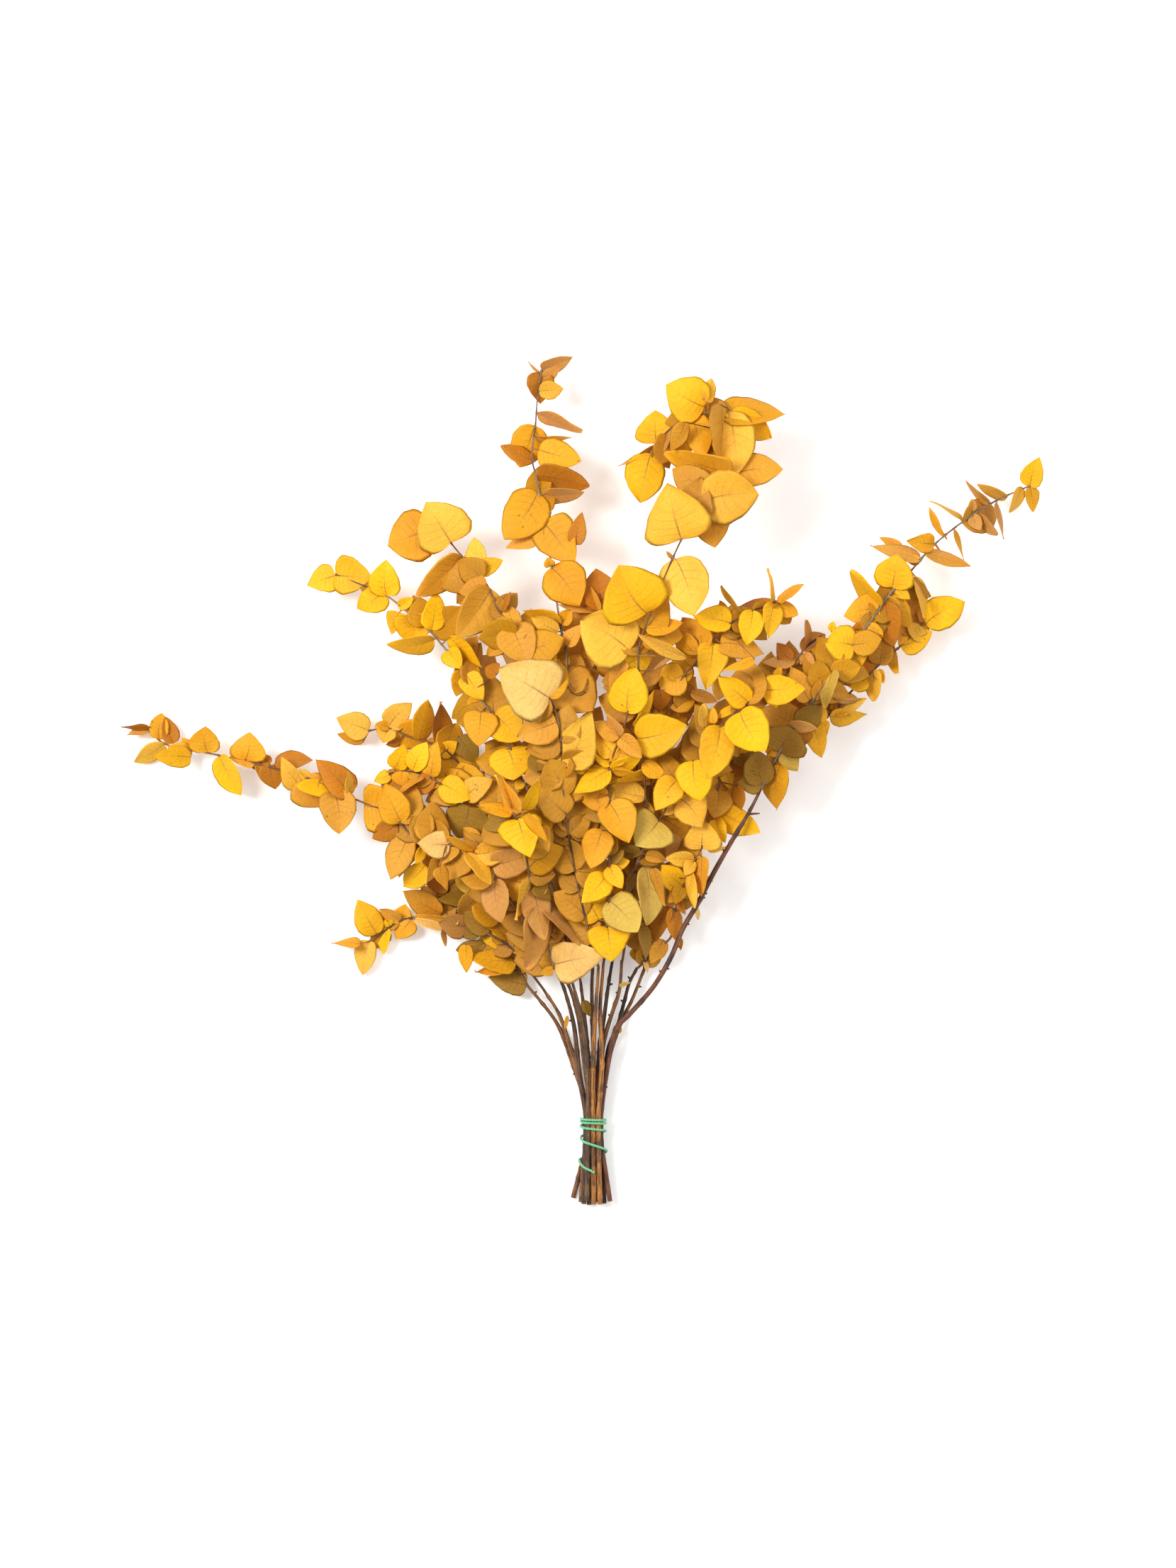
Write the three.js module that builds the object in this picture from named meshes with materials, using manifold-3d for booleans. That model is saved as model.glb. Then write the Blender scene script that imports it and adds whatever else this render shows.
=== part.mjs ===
// A tied bunch of dried eucalyptus, lying on a flat surface. Millimetres, +Z up.
// Bare woody stems run from their cut ends, through a green cord tie, up into the foliage.
// Each leafy shoot is one grown piece: its twig with the leaves that sit on it.
// +X is across the bunch, +Y runs from the cut ends to the topmost leaf.
import * as THREE from 'three';
import { mergeVertices } from 'three/addons/utils/BufferGeometryUtils.js';
import Module from 'manifold-3d';

const wasm = await Module();
wasm.setup();

// ---------------------------------------------------------------- driving dimensions
const BUNCH_LENGTH = 658;     // lowest cut end to topmost leaf tip
const BUNCH_SPREAD = 715;     // leftmost to rightmost leaf tip
const FOLIAGE_HEIGHT = 106;   // surface to the axis of the highest twig
const STEM_DIAMETER = 3.5;    // bare stem
const STEM_GAP = 0.5;         // between neighbouring stems inside the tie
const TWIG_DIAMETER = 2;      // twig that carries the leaves
const LEAF_THICKNESS = 0.8;
const LEAF_SIZE = 1;          // leaf width, as a share of the chosen widths
const TIE_DIAMETER = 2;       // green cord
const CLEARANCE = 0.4;        // least gap between two pieces

// The chosen points below were laid out at these overall sizes.
const LAYOUT_LENGTH = 658;
const LAYOUT_SPREAD = 715;
const LAYOUT_HEIGHT = 106;

const STEM_SIDES = 5;
const TWIG_SIDES = 4;
const TIE_SIDES = 4;
const STEM_STEP = 22;         // length of one straight length of a bent stem
const TWIG_STEP = 22;
const FLOOR_MARGIN = 0.02;
const LEAST_DETAIL = 0.05;    // finer steps where leaves join a twig are left out

const place = ([x, y, z]) => new THREE.Vector3(
  x * BUNCH_SPREAD / LAYOUT_SPREAD,
  y * BUNCH_LENGTH / LAYOUT_LENGTH,
  z * FOLIAGE_HEIGHT / LAYOUT_HEIGHT,
);

// ---------------------------------------------------------------- stems
// In the tie the stems are packed in four rows. column is in stem pitches from the middle.
// The route is where the stem runs above the tie, up to the place where its leaves begin.
const STEM_PITCH = STEM_DIAMETER + STEM_GAP;
const TIE_SLACK = 0.9;        // from the stems to the tie cord
const TIE_ROOM = TIE_DIAMETER + 2.4 * TIE_SLACK;  // under the lowest stems, for the cord
const ROW_HEIGHT = [0, 1, 2, 3].map((row) => TIE_ROOM + STEM_DIAMETER / 2 + row * STEM_PITCH);

const STEMS = [
  { row: 0, column: -1, end: [-15.7, -56], route: [[-15.6, 48, 7], [-27.7, 79, 9], [-40.6, 97, 11],
    [-50, 108, 12]] },
  { row: 1, column: -1.5, end: [-9.6, -59], route: [[-14, 50, 12], [-19, 66, 13.5], [-27, 88.5, 16],
    [-38, 106, 18]] },
  { row: 2, column: -1.5, end: [-7.4, -60], route: [[-11.5, 47, 18], [-15, 79, 23], [-21, 103, 28],
    [-28, 122, 33]] },
  { row: 2, column: -0.5, end: [-2.6, -58], route: [[-7.4, 56, 17.5], [-11.3, 84, 19.5],
    [-16.6, 104, 22], [-24, 123, 26]] },
  { row: 3, column: -1, end: [-5, -57], route: [[-5, 56, 23], [-10, 90, 29], [-15.6, 111, 34]] },
  { row: 1, column: -0.5, end: [-3.2, -61], route: [[-4.4, 59, 12.5], [-6.9, 87, 14.5],
    [-9.6, 111, 18]] },
  { row: 3, column: 0, end: [0.4, -60], route: [[0, 56, 24], [2, 95, 33], [4, 124, 40]] },
  { row: 3, column: 1, end: [5.2, -60], route: [[6.6, 47, 21.5], [6.2, 69, 24.5], [5.2, 92, 27.5],
    [7.8, 127, 34]] },
  { row: 2, column: 1.5, end: [13, -58], route: [[12, 52, 17], [18, 77, 21], [27, 87, 24],
    [37, 98, 28], [48, 112, 33], [60, 133, 38], [69, 155, 43], [80, 174, 48], [95, 203, 54],
    [110, 229, 58], [120, 246, 60], [128, 262, 61]] },
  { row: 2, column: 0.5, end: [2.4, -57], route: [[6.2, 56, 16], [10, 74, 18], [15, 90, 21],
    [20, 106, 25], [22, 128, 30]] },
  { row: 1, column: 1.5, end: [8.6, -60], route: [[12, 60, 9.5], [19.5, 80, 11], [24, 97, 13],
    [28, 112, 16], [33, 122, 19]] },
  { row: 0, column: 1, end: [6.2, -58], route: [[14, 60, 5], [24, 86, 6.5], [30, 98, 8],
    [39, 121, 10]] },
  { row: 1, column: 0.5, end: [3.6, -59], route: [[5, 60, 10.5], [9, 90, 13], [12, 112, 15],
    [15, 130, 17]] },
  { row: 0, column: 0, end: [0.2, -57], route: [[0, 60, 5.5], [-1, 95, 8], [-1, 113, 10],
    [0, 130, 12]] },
];

// ---------------------------------------------------------------- leafy shoots, front to back
// route: the twig's centreline, from where it leaves its stem to its tip: x, y, z.
// leaves: base x, base y, tip x, tip y, width seen from above, rise from base to tip.
const SHOOTS = {
  shoot_heart: {
    route: [[-48, 190, 64], [-52, 215, 80], [-57, 236, 94], [-60, 245, 99]],
    leaves: [[-57, 240, -48, 210.5, 29, 6], [-50, 244, -33, 222, 9, -4], [-38, 235, -34, 214, 10, -12],
      [-62, 248, -75, 273, 10, 4], [-56, 244, -70, 272, 12, -3], [-52, 247, -42, 270, 11, 3],
      [-62, 243, -88, 250, 11, -6], [-63, 240, -84, 233, 14, -12]],
  },
  shoot_right_bright: {
    route: [[52, 240, 50], [66, 262, 61], [84, 288, 82], [90, 303, 96], [95, 309, 102], [110, 322, 105],
      [129, 337, 103]],
    leaves: [[96, 310, 86, 270, 28, 8], [104, 300, 101, 280, 8, -3], [111, 321, 130, 291, 30, 6],
      [117, 328, 94, 347.5, 19, 5], [129, 337, 160, 338, 23, 4], [129, 336, 139, 324, 8, -4],
      [84, 309, 83, 327, 7, -2], [108, 325, 94, 316, 6, -4], [91, 312, 90, 325, 8, -8],
      [128, 340, 123, 354.5, 13, -12], [130, 338, 118, 344, 7, -9], [138, 347, 143, 355, 6, -6]],
  },
  shoot_north_east: {
    route: [[22.4, 129, 30.5], [30, 180, 34], [34, 240, 48], [33, 300, 70], [34, 350, 92], [35, 371, 99],
      [43, 395, 104], [52, 418, 106], [60, 437, 104], [66.5, 451, 101], [82, 480, 95], [95, 520, 88],
      [102, 552, 82]],
    leaves: [[40, 395.5, 19, 431, 48, 8], [27, 367, -10, 390, 44, 3], [62, 436, 76, 392.5, 34, 5],
      [60, 437, 55, 442, 3, 2], [66.5, 451, 56, 493.5, 48, 8], [83, 480, 125, 485, 38, 6],
      [83, 479, 92.5, 445.5, 30, -10], [82, 481, 67, 487, 10, -6], [102, 549, 108, 500, 32, 5],
      [97, 554, 100, 500, 20, -8], [98, 551, 146, 548, 24, -2], [104, 548, 136, 530, 22, -9],
      [108, 502, 144, 505, 22, -12], [103, 501, 54, 518.5, 22, -14], [70, 540, 58, 518, 12, -18],
      [40, 384, 68, 388, 14, -9], [70, 362, 31, 381, 9, -6], [46, 352, 64, 364, 3, -12]],
  },
  shoot_north_east_side: {
    route: [[97, 546, 86], [88, 548, 84], [74, 545, 79], [60, 538, 72], [50, 529, 67], [44, 520, 63]],
    leaves: [[84, 553, 55, 569.5, 34, 2], [87, 556, 90, 574, 10, 4], [75, 548, 84, 514, 22, 8],
      [48, 527, 47.5, 552.5, 27, -4], [44, 519, 35.5, 481, 30, 3], [56, 524, 35, 519, 7, 5],
      [38, 519, 19, 509.5, 2.5, 3], [60, 537, 54, 518.5, 5, -5]],
  },
  shoot_upper_left_round: {
    route: [[4.1, 125, 41], [-3, 150, 50], [-14, 200, 64], [-22, 250, 76], [-26, 311, 88],
      [-30, 325, 91], [-33, 331, 92], [-48, 360, 90], [-61, 386, 84], [-72, 398, 79], [-81, 418, 72],
      [-88, 428, 68], [-101, 441, 62], [-110, 452, 58]],
    leaves: [[-33, 331, -72, 354, 46, 5], [-28, 313, -58, 302, 26, -5], [-20, 279, -1, 321, 28, 6],
      [-61.5, 386.5, -49, 357, 28, 4], [-61, 386, -65, 402, 16, -6], [-68, 372, -81, 364, 12, -9],
      [-69, 377, -76, 374, 9, -6], [-33, 356, -32, 377, 9, -4], [-109, 451, -128, 482, 42, 6],
      [-125, 462, -158, 450, 36, -8], [-101, 440, -135, 410, 20, -5], [-88, 429, -91, 455, 16, -6],
      [-87, 429, -69, 437, 13, 3], [-78, 415, -104.5, 377, 27, 4], [-70, 398, -63, 413, 6, -3],
      [-42, 276, -45, 292, 13, -14], [-38, 282, -50, 290, 12, -18]],
  },
  shoot_center: {
    route: [[8, 128, 34.6], [9.5, 142, 44], [10, 157, 54], [12, 177, 62], [12, 204, 70], [12, 251, 79],
      [12.5, 277, 84], [15, 288, 87], [20, 302, 89], [26, 320, 92], [26, 340, 93], [25, 356, 94]],
    leaves: [[11, 157, 14, 130, 31, 4], [12, 177, 34, 153, 28, 2], [4, 162, -14, 190, 26, -3],
      [10, 197, -9, 175.5, 20, 4], [11, 181, -4, 174.5, 6, -4], [12.5, 204, 22, 186.5, 14, 3],
      [13, 204, 28, 207.5, 10, -2], [7, 231, -2, 201.5, 22, 3], [12, 252, 27, 221, 27, 4],
      [14, 206, 23, 216, 8, -6], [12.5, 277, -15.5, 259, 18, 5], [-3, 279, -16, 276, 8, -4],
      [13, 277.5, 37, 288, 11, 2], [15, 276, 31, 275, 6, -4], [15, 288, -1, 308, 17, 5],
      [15, 281, 27, 297, 12, 3], [14, 281, -4, 297, 11, -3], [20, 302, 10, 319, 9, 1],
      [20, 302, 0, 314, 13, -3], [20, 302, 37, 286, 13, 3], [26, 320, 32, 355, 27, 4],
      [25, 356, 44, 362, 24, -3], [23, 361, 12, 338, 12, -8], [9, 258, 2, 244, 9, -12]],
  },
  shoot_center_right: {
    route: [[38, 220, 57], [40, 248, 66], [39, 270, 72], [38, 283, 76], [33, 301, 84], [30, 310, 87]],
    leaves: [[32.5, 301, 71, 311, 32, 4], [30, 311, 46, 337, 6, 6], [47, 275, 9, 265, 8, 7],
      [39, 256, 9, 262, 15, 0], [39, 281, 62, 278, 14, -6], [38, 283, 54, 272, 13, -8]],
  },
  shoot_center_low: {
    route: [[15.3, 131, 17.4], [20, 165, 36], [24, 186, 48], [31, 200, 54], [37, 214, 60], [44, 228, 65],
      [50, 238, 70], [54, 245, 73], [64, 269, 82], [70, 277, 85], [76, 284, 88]],
    leaves: [[50, 238, 32, 219, 32, 4], [64, 269, 47, 246, 22, 3], [76, 284, 81, 253, 28, 4],
      [36, 214, 22, 217, 7, -3], [36, 214, 26, 209, 5, -5], [40, 212, 56, 207, 9, -6],
      [68, 254, 83, 233, 27, -4], [62, 250, 53, 243, 9, -6], [61, 228, 57, 210, 12, -16],
      [31, 198, 26, 181, 8, -10], [40, 203, 41, 157.5, 20, 2], [46, 202, 55, 173, 8, -6],
      [24, 187, 15, 182, 7, -10]],
  },
  shoot_upper_right: {
    route: [[39.4, 122, 10.3], [42, 170, 24], [44, 230, 44], [46, 290, 60], [58, 325, 72], [69, 349, 84],
      [76, 356, 86], [92, 377, 89], [104, 388, 90], [112, 393, 89], [121, 398, 87], [137, 404, 83],
      [143, 406, 81]],
    leaves: [[69, 349, 50, 341, 25, -4], [91, 373, 85, 337, 24, 4], [104, 388, 75.5, 392.5, 20, 5],
      [121, 398, 116, 371, 19, 5], [137, 404, 133, 377, 15, 4], [140, 402, 156, 395, 12, -4],
      [142, 403, 160, 418, 7, 3], [135, 404, 131.5, 430, 4, 3], [110, 400, 97, 417, 3, 3],
      [141, 403, 111, 402, 8, -5], [100, 389, 96, 406, 9, -9], [106, 389, 106, 403, 12, -8],
      [96, 373, 130, 365, 20, -5], [121, 360, 97, 352, 8, -14], [78, 364, 63, 384, 14, -5],
      [50, 338, 50, 321, 16, -10], [74, 336, 95, 329, 10, -12], [71, 331, 71, 312, 11, -16],
      [98, 347, 96, 330, 12, -13]],
  },
  shoot_north: {
    route: [[0, 131, 12.4], [-2, 170, 30], [-6, 220, 48], [-12, 270, 62], [-20, 315, 75], [-20, 349, 84],
      [-21.5, 370, 82], [-25, 386, 79], [-32, 434, 70], [-38, 466, 63], [-43.5, 500, 56],
      [-47, 516, 52], [-44.5, 543, 44], [-42.5, 570, 37], [-40, 586, 33]],
    leaves: [[-20, 349, 0, 322, 38, -3], [-27, 340, -22, 320, 18, -8], [-25, 388, -53.5, 397.5, 14, 4],
      [-27, 382, -47, 393, 13, 8], [-24, 388, -17, 399, 12, 2], [-20, 371, -8, 388, 12, 2],
      [-22, 370, -42, 366, 8, -4], [-31, 378, -38, 384, 10, -5], [-32, 431, -10.5, 401.5, 30, 5],
      [-33, 432, -35, 439, 8, 2], [-31, 432, -12.5, 429, 6, -6], [-38, 466, -14, 433.5, 32, 4],
      [-13, 449, -8.5, 474, 12, -8], [-43, 489.5, -68, 453, 34, 4], [-43, 456, -67, 447, 16, -10],
      [-38, 488, -7, 489.5, 11, -3], [-43, 502.5, -3, 494.5, 18, -5], [-42, 523, -9, 514, 22, 3],
      [-47, 514, -71, 527, 12, -6], [-44, 533, -16.5, 532, 4, 3], [-45, 542, -57, 510, 27, 4],
      [-43, 551.5, -9, 536.5, 7, 3], [-42, 569, -23, 571, 14, -2], [-42, 584, -41, 560, 20, -6],
      [-39, 580, -25.5, 587.5, 9, 3], [-40, 586, -15.5, 596, 11, -4], [-41, 583, -50, 592, 2, 3]],
  },
  shoot_north_back: {
    route: [[-8, 276, 53], [-2, 320, 60], [2, 360, 66], [4, 397, 72], [4, 408, 73]],
    leaves: [[5, 399, 2, 431, 24, -3], [4, 397, -9, 423, 12, -5], [4, 397, -27, 403.5, 9, -8],
      [3, 366, 12, 347, 14, -9], [1, 350, -8, 364, 14, -12]],
  },
  shoot_pale: {
    route: [[-28.4, 123, 33.6], [-30.5, 127, 37], [-36, 145, 48], [-40, 165, 56], [-47, 186, 61]],
    leaves: [[-30, 127, 11, 136, 30, 6], [-31, 124, -65, 111, 26, 2], [-46, 187, -37, 147, 20, 2],
      [-45, 172, -52, 124, 18, -6], [-40, 174, -11, 143, 8, 3], [-34, 153, -22, 143, 7, -9],
      [-48, 192, -60, 162.5, 13, 3]],
  },
  shoot_far_left: {
    route: [[-24.4, 124, 26.5], [-34, 140, 34], [-50, 160, 50], [-66, 180, 62], [-74.5, 193, 68],
      [-77, 204, 70], [-90, 213, 70], [-113, 221, 66], [-139, 227, 58], [-154, 242, 53],
      [-187, 256, 44], [-226, 273, 34], [-261, 282, 26], [-300, 290.5, 18], [-333, 297.5, 12],
      [-347, 309, 9]],
    leaves: [[-74.5, 194, -70, 160, 21, 3], [-77, 204, -41, 215, 22, 3], [-90, 213, -61, 221, 17, 4],
      [-97, 214, -78, 190, 13, 5], [-91, 216, -111, 226, 7, -3], [-87, 223, -101, 233, 9, -6],
      [-104, 218, -118, 205, 10, -3], [-110, 220, -134.5, 221, 19, 5], [-119, 212, -129, 190, 8, -3],
      [-131, 218, -136, 205, 8, 3], [-117, 203, -111, 185, 10, -8], [-129, 204, -146, 188.5, 18, -4],
      [-141, 226, -156, 193, 20, -3], [-139, 221, -150, 194, 14, -8], [-128, 228, -146, 234, 10, -6],
      [-147, 237, -160, 267, 22, 3], [-148, 236, -148, 252, 14, -6], [-151, 235, -170, 224, 16, -6],
      [-176, 250, -150.5, 250.5, 34, 4], [-188, 258, -214, 285.5, 22, -7], [-188, 258, -188, 276, 6, 3],
      [-200, 261, -195.5, 227.5, 26, 2], [-222, 271, -209, 248.5, 28, -5], [-220, 271, -226, 278, 8, 2],
      [-210, 270, -209, 256, 30, 5], [-225, 265, -241, 287, 15, 3], [-246, 283, -217, 285, 14, -5],
      [-250, 281, -246, 262, 18, -4], [-250, 282, -258, 289, 8, -3], [-261, 281, -247, 263, 10, 2],
      [-262, 281.5, -281, 287, 8, -4], [-269, 285.5, -265.5, 306.5, 25, 3], [-290, 288, -273, 257.5, 19, 2],
      [-299, 291, -300, 311, 22, 3], [-313, 292, -319, 302, 10, 3], [-313, 293, -330, 295, 10, 4],
      [-312, 287, -339, 288, 16, -3], [-333, 297, -357.5, 283, 12.5, -3], [-326, 298, -333, 318, 12, -2],
      [-337, 301, -335.5, 321.5, 15, 3], [-345, 309, -362, 304, 8, 2], [-344, 310, -367, 310, 6, -3]],
  },
  shoot_upper_left_yellow: {
    route: [[-16.2, 112, 34.4], [-22, 150, 40], [-29, 180, 46], [-33, 192, 48], [-38, 205, 50],
      [-42, 225, 52], [-42, 245, 54], [-46, 254, 56], [-53, 267, 58], [-60, 283, 61], [-66, 300, 65],
      [-75, 318, 69], [-84, 328, 69], [-97, 347, 67], [-112, 368, 62], [-125, 383, 57], [-140, 396, 52],
      [-159, 411, 45], [-177, 419, 39], [-199, 428, 33]],
    leaves: [[-66, 293, -61, 269, 35, 3], [-76, 319, -57, 299, 28, 3], [-86, 321, -88, 295, 26, 5],
      [-54, 268, -60, 262, 8, 2], [-55, 276, -41, 277, 6, -4], [-43, 268, -31, 278, 9, -6],
      [-97, 350, -84, 330, 18, 4], [-97, 345, -94, 331, 6, -5], [-86, 330, -97, 322, 12, -6],
      [-73, 350, -82, 356, 13, -12], [-102, 353, -105, 333, 13, -2], [-111, 369, -101, 354, 15, 5],
      [-110, 378, -85, 355, 11, -4], [-122, 377, -159, 373, 14, -5], [-124, 384, -120, 415, 18, -3],
      [-140, 396, -138, 372, 28, 5], [-149, 398, -155, 381, 14, -4], [-150, 403, -138, 409, 9, 3],
      [-161, 415, -182, 401, 20, -3], [-159, 411, -159, 438.5, 22, 4], [-199, 428, -170.5, 425.5, 28, 2],
      [-199, 427, -221, 419.5, 21, -3], [-46, 208, -40, 190, 12, -4], [-31, 203, -24, 182, 9, -6],
      [-43, 214, -33, 198, 8, 2]],
  },
  shoot_right_top: {
    route: [[128.4, 262.9, 61.2], [142, 290, 64], [160, 316, 66], [166, 327, 66], [178, 345, 65],
      [198, 373, 62], [211, 389, 60], [226, 410, 56], [244, 430, 50], [263, 451, 44], [290, 472, 36],
      [313, 486, 30], [338, 497, 24]],
    leaves: [[129, 266, 125, 292, 23, 2], [128, 265, 110, 267, 14, -6], [143, 281, 141, 246, 19, -4],
      [142.5, 291, 151, 310, 36, 2], [146, 291, 156, 276, 15, -2], [142, 291, 131, 294, 9, -7],
      [149, 312, 171, 308, 8, 5], [159, 309, 160, 295, 15, -6], [167, 316, 176, 286, 16, -5],
      [178, 315, 179, 303, 7, -8], [172, 325, 177, 313, 11, -3], [165, 330, 150, 356, 18, 3],
      [170, 330, 173, 346, 9, -3], [183, 354, 177, 324, 13, 5], [188, 357, 197, 341, 12, -8],
      [199, 372, 177, 374, 26, 5], [182, 383, 184, 391, 6, -3], [199, 383, 205, 356, 20, -8],
      [211, 388, 222, 379, 9, -4], [219, 400, 192, 395, 22, -3], [208, 386, 196, 383, 10, -9],
      [220, 402, 196, 429, 10, 5], [223, 405, 231, 372, 20, -6], [226, 408, 244, 386, 18, -8],
      [225, 410, 216, 413, 6, -4], [225, 409, 235, 403, 4, 3], [229, 417, 233, 442, 30, 3],
      [232, 416, 243, 408, 9, 1], [251, 440, 213, 450, 12, -2], [238, 449, 222, 458, 7, 0],
      [251, 438, 240, 439, 8, -5], [262, 451, 240, 453, 14, 3], [256, 444, 290, 433.5, 13, -2],
      [248, 426, 255, 394, 9, 3], [263, 451, 267, 446, 1.5, -2], [270, 458, 258, 479, 4, 3],
      [270, 458, 273, 454, 1.5, -2], [278, 463, 286, 439, 4, -3], [284, 469, 259, 484, 4, 3],
      [292, 477, 292, 486, 7, 3], [292, 474, 299, 462, 10, -2], [298, 474, 312, 458, 7, -4],
      [306, 483, 287, 500, 5, 3], [312, 484, 317.5, 455.5, 5, -3], [320, 488, 296, 497.5, 7, 3],
      [331, 496, 322, 476, 9, -2], [338, 496, 341, 477, 11, -4], [338, 496, 345, 519, 17, 3]],
  },
  shoot_right_low: {
    route: [[166, 318, 58], [175, 318, 53], [184, 321, 49], [197, 336, 45], [216, 354, 40],
      [229, 366, 36], [240, 375, 33], [256, 391, 30]],
    leaves: [[182, 318, 211, 320, 12, -3], [184, 332, 210, 332, 3, 3], [190, 320, 210, 332, 7, -4],
      [184, 322, 186, 337, 6, -4], [210, 347.5, 196, 341, 20, 3], [215, 354, 217, 330, 11, -3],
      [217, 353, 224, 344, 8, 3], [213, 352, 210, 363, 10, -4], [223, 361, 212, 364, 6, -6],
      [222, 384, 236, 352, 9, 6], [237, 373, 262, 384, 18, -4], [254, 377, 242, 391, 11, 4],
      [236, 373, 236, 390, 6, 2], [257, 390, 287, 407, 26, 3], [254, 391, 251, 401, 5, -3]],
  },
  shoot_right_mid: {
    route: [[120, 322, 60], [135, 338, 56], [148, 351, 52], [153, 357, 50], [160, 367, 48],
      [168, 375, 46], [176, 381, 44]],
    leaves: [[155, 361, 129, 360, 9, 4], [152, 361, 141, 375, 13, -3], [164, 372, 163, 392, 5, 5],
      [160, 369, 180, 382, 12, -3], [176, 371, 160, 354, 8, 6], [161, 366, 171, 348, 9, -2],
      [177, 371, 181, 351, 17, -5], [152, 330, 147, 310, 8, -3], [128, 318, 144, 313, 10, -12],
      [132, 321, 147, 326, 6, -9], [148, 352, 138, 356, 7, -4], [160, 330, 153, 318, 12, -10]],
  },
  shoot_left_mid: {
    route: [[-60, 226, 56], [-80, 248, 52], [-97, 257, 49], [-117, 266, 46], [-131, 273.5, 42],
      [-147, 276.5, 37], [-158, 274, 34]],
    leaves: [[-117, 266, -95, 254, 21, 5], [-98, 256, -77, 270, 19, 2], [-96, 249, -104, 224, 32, -6],
      [-125, 272, -120, 299, 14, 3], [-124, 272, -135, 258, 14, -4], [-131, 272, -152, 256, 6, 3],
      [-138.5, 276.5, -128, 298.5, 16, 5], [-153, 278, -145, 297, 16, 3], [-147, 276, -146, 264, 14, -2],
      [-157, 273, -169, 268, 11, -3]],
  },
  shoot_left_upper: {
    route: [[-42, 209, 42], [-60, 232, 40], [-80, 256, 38], [-97, 274, 36], [-108, 287, 33],
      [-119, 296, 31], [-129, 299, 29], [-143, 303, 26], [-158, 309.5, 23], [-174, 307.5, 20]],
    leaves: [[-118, 288, -105, 299, 13, 4], [-119, 296, -118.5, 330, 16, 2], [-135, 300, -127, 331.5, 16, 5],
      [-104, 303, -90, 283, 17, -4], [-150, 299, -161, 296.5, 6, -2], [-152, 308, -129, 298, 20, -3],
      [-157, 309, -163, 298, 16, -3], [-158, 310, -168, 313, 8, 3], [-158.5, 310.5, -140, 329, 20, 2],
      [-178, 300, -199, 305, 9, -3], [-174, 307.5, -199, 317.5, 20, 3], [-92, 268, -84, 276, 12, -3]],
  },
  shoot_olive: {
    route: [[-9.8, 112, 18.4], [-15, 150, 32], [-20, 190, 42], [-21, 225, 50], [-22, 274, 57]],
    leaves: [[-22, 274, -18, 218, 18, 3], [-25, 277, -30, 260, 8, -4], [-12, 219, -18, 197, 21, -3],
      [-5, 201, -21, 183, 13, 3], [-14, 150, -33, 172, 18, -4], [-45, 189, -32, 177, 13, -8],
      [-14, 152, 0, 145, 12, -8], [-4, 240, 2, 256, 9, -8]],
  },
  shoot_right_inner: {
    route: [[80, 216, 49], [90, 234, 47], [94, 245, 48], [96, 261, 50], [98, 270, 51], [98, 283, 52],
      [101, 292, 52]],
    leaves: [[94, 240, 101, 221, 12, 4], [98, 245, 128, 229, 20, 2], [96, 261, 92, 240, 20, 4],
      [98, 222, 92, 218, 6, -6], [110, 265, 113, 246, 9, -4], [101, 277, 105, 262, 11, 3],
      [98, 281, 91, 272, 8, -3], [104, 292, 122, 294, 8, 4], [112, 291, 118, 278, 18, 2],
      [104, 284, 121, 272, 14, -4], [88, 216, 103, 218, 5, -8]],
  },
  shoot_right_amber: {
    route: [[33.6, 123, 19.4], [37, 126, 21], [48, 138, 26], [60, 148, 31], [62, 165, 38], [69, 187, 48],
      [77, 207, 55], [83, 217, 60], [84, 232, 63]],
    leaves: [[83, 216.5, 84, 239, 26, 3], [77, 208, 56, 209, 11, 3], [77, 207, 70, 196, 10, 1],
      [69, 188, 52, 204, 17, 3], [68, 188, 63, 174, 11, 2], [76, 198, 77, 171, 7, 5],
      [83, 211, 82, 180, 11, -5], [86, 195, 93, 190, 4, -4], [79, 172, 81, 161, 3, -2],
      [61, 170, 64, 145, 12, 2], [56, 172, 48, 144, 16, -3], [66, 175, 71, 166, 6, -3],
      [67, 148, 67.5, 137.5, 4, -2], [54, 146, 44, 128, 12, -3], [36, 157, 40, 131, 10, 4],
      [31, 139, 39, 127, 7, -3], [40, 129, 42, 120, 4, 2]],
  },
  shoot_left_back: {
    route: [[-36, 134, 24], [-50, 144, 24], [-60, 150, 25], [-73, 161, 26], [-84, 173, 27],
      [-94, 184, 28], [-103, 197, 29], [-112, 205, 29], [-124, 212, 28]],
    leaves: [[-100, 199, -98, 181.5, 14, 4], [-84, 193, -86, 175, 11, 5], [-93, 178, -120, 177, 14, -2],
      [-66, 170, -58, 151, 12, -4], [-112, 188, -130, 189, 13, -5], [-60, 149, -55, 134, 7, -4],
      [-120, 208, -134, 198, 14, -5], [-106, 168, -116, 162, 11, -6], [-122, 212, -134, 224, 14, -4]],
  },
  shoot_lower_left: {
    route: [[-38.6, 107, 18.3], [-46, 117, 20], [-53, 127, 22], [-62, 138, 24], [-75, 147, 24],
      [-90, 154, 22], [-104, 160, 18], [-122, 163, 14], [-139, 162.5, 12], [-150, 160, 11],
      [-165, 150, 9], [-174, 144, 8]],
    leaves: [[-88, 150, -107, 153, 12, -4], [-80, 153, -100, 167, 16, 3], [-66, 146, -88, 168, 9, 5],
      [-118, 166, -147.5, 183.5, 18, 3], [-139, 163, -104, 161, 5, 4], [-139, 161, -113, 153, 10, 2],
      [-117, 152, -114, 140.5, 4, -2], [-106, 160, -113, 149, 6, -3], [-142, 161, -154, 146, 16, -3],
      [-149, 160, -146, 173, 15, -2], [-150, 160, -166, 169.5, 10, 3], [-158, 156, -162, 161, 8, 2],
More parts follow.
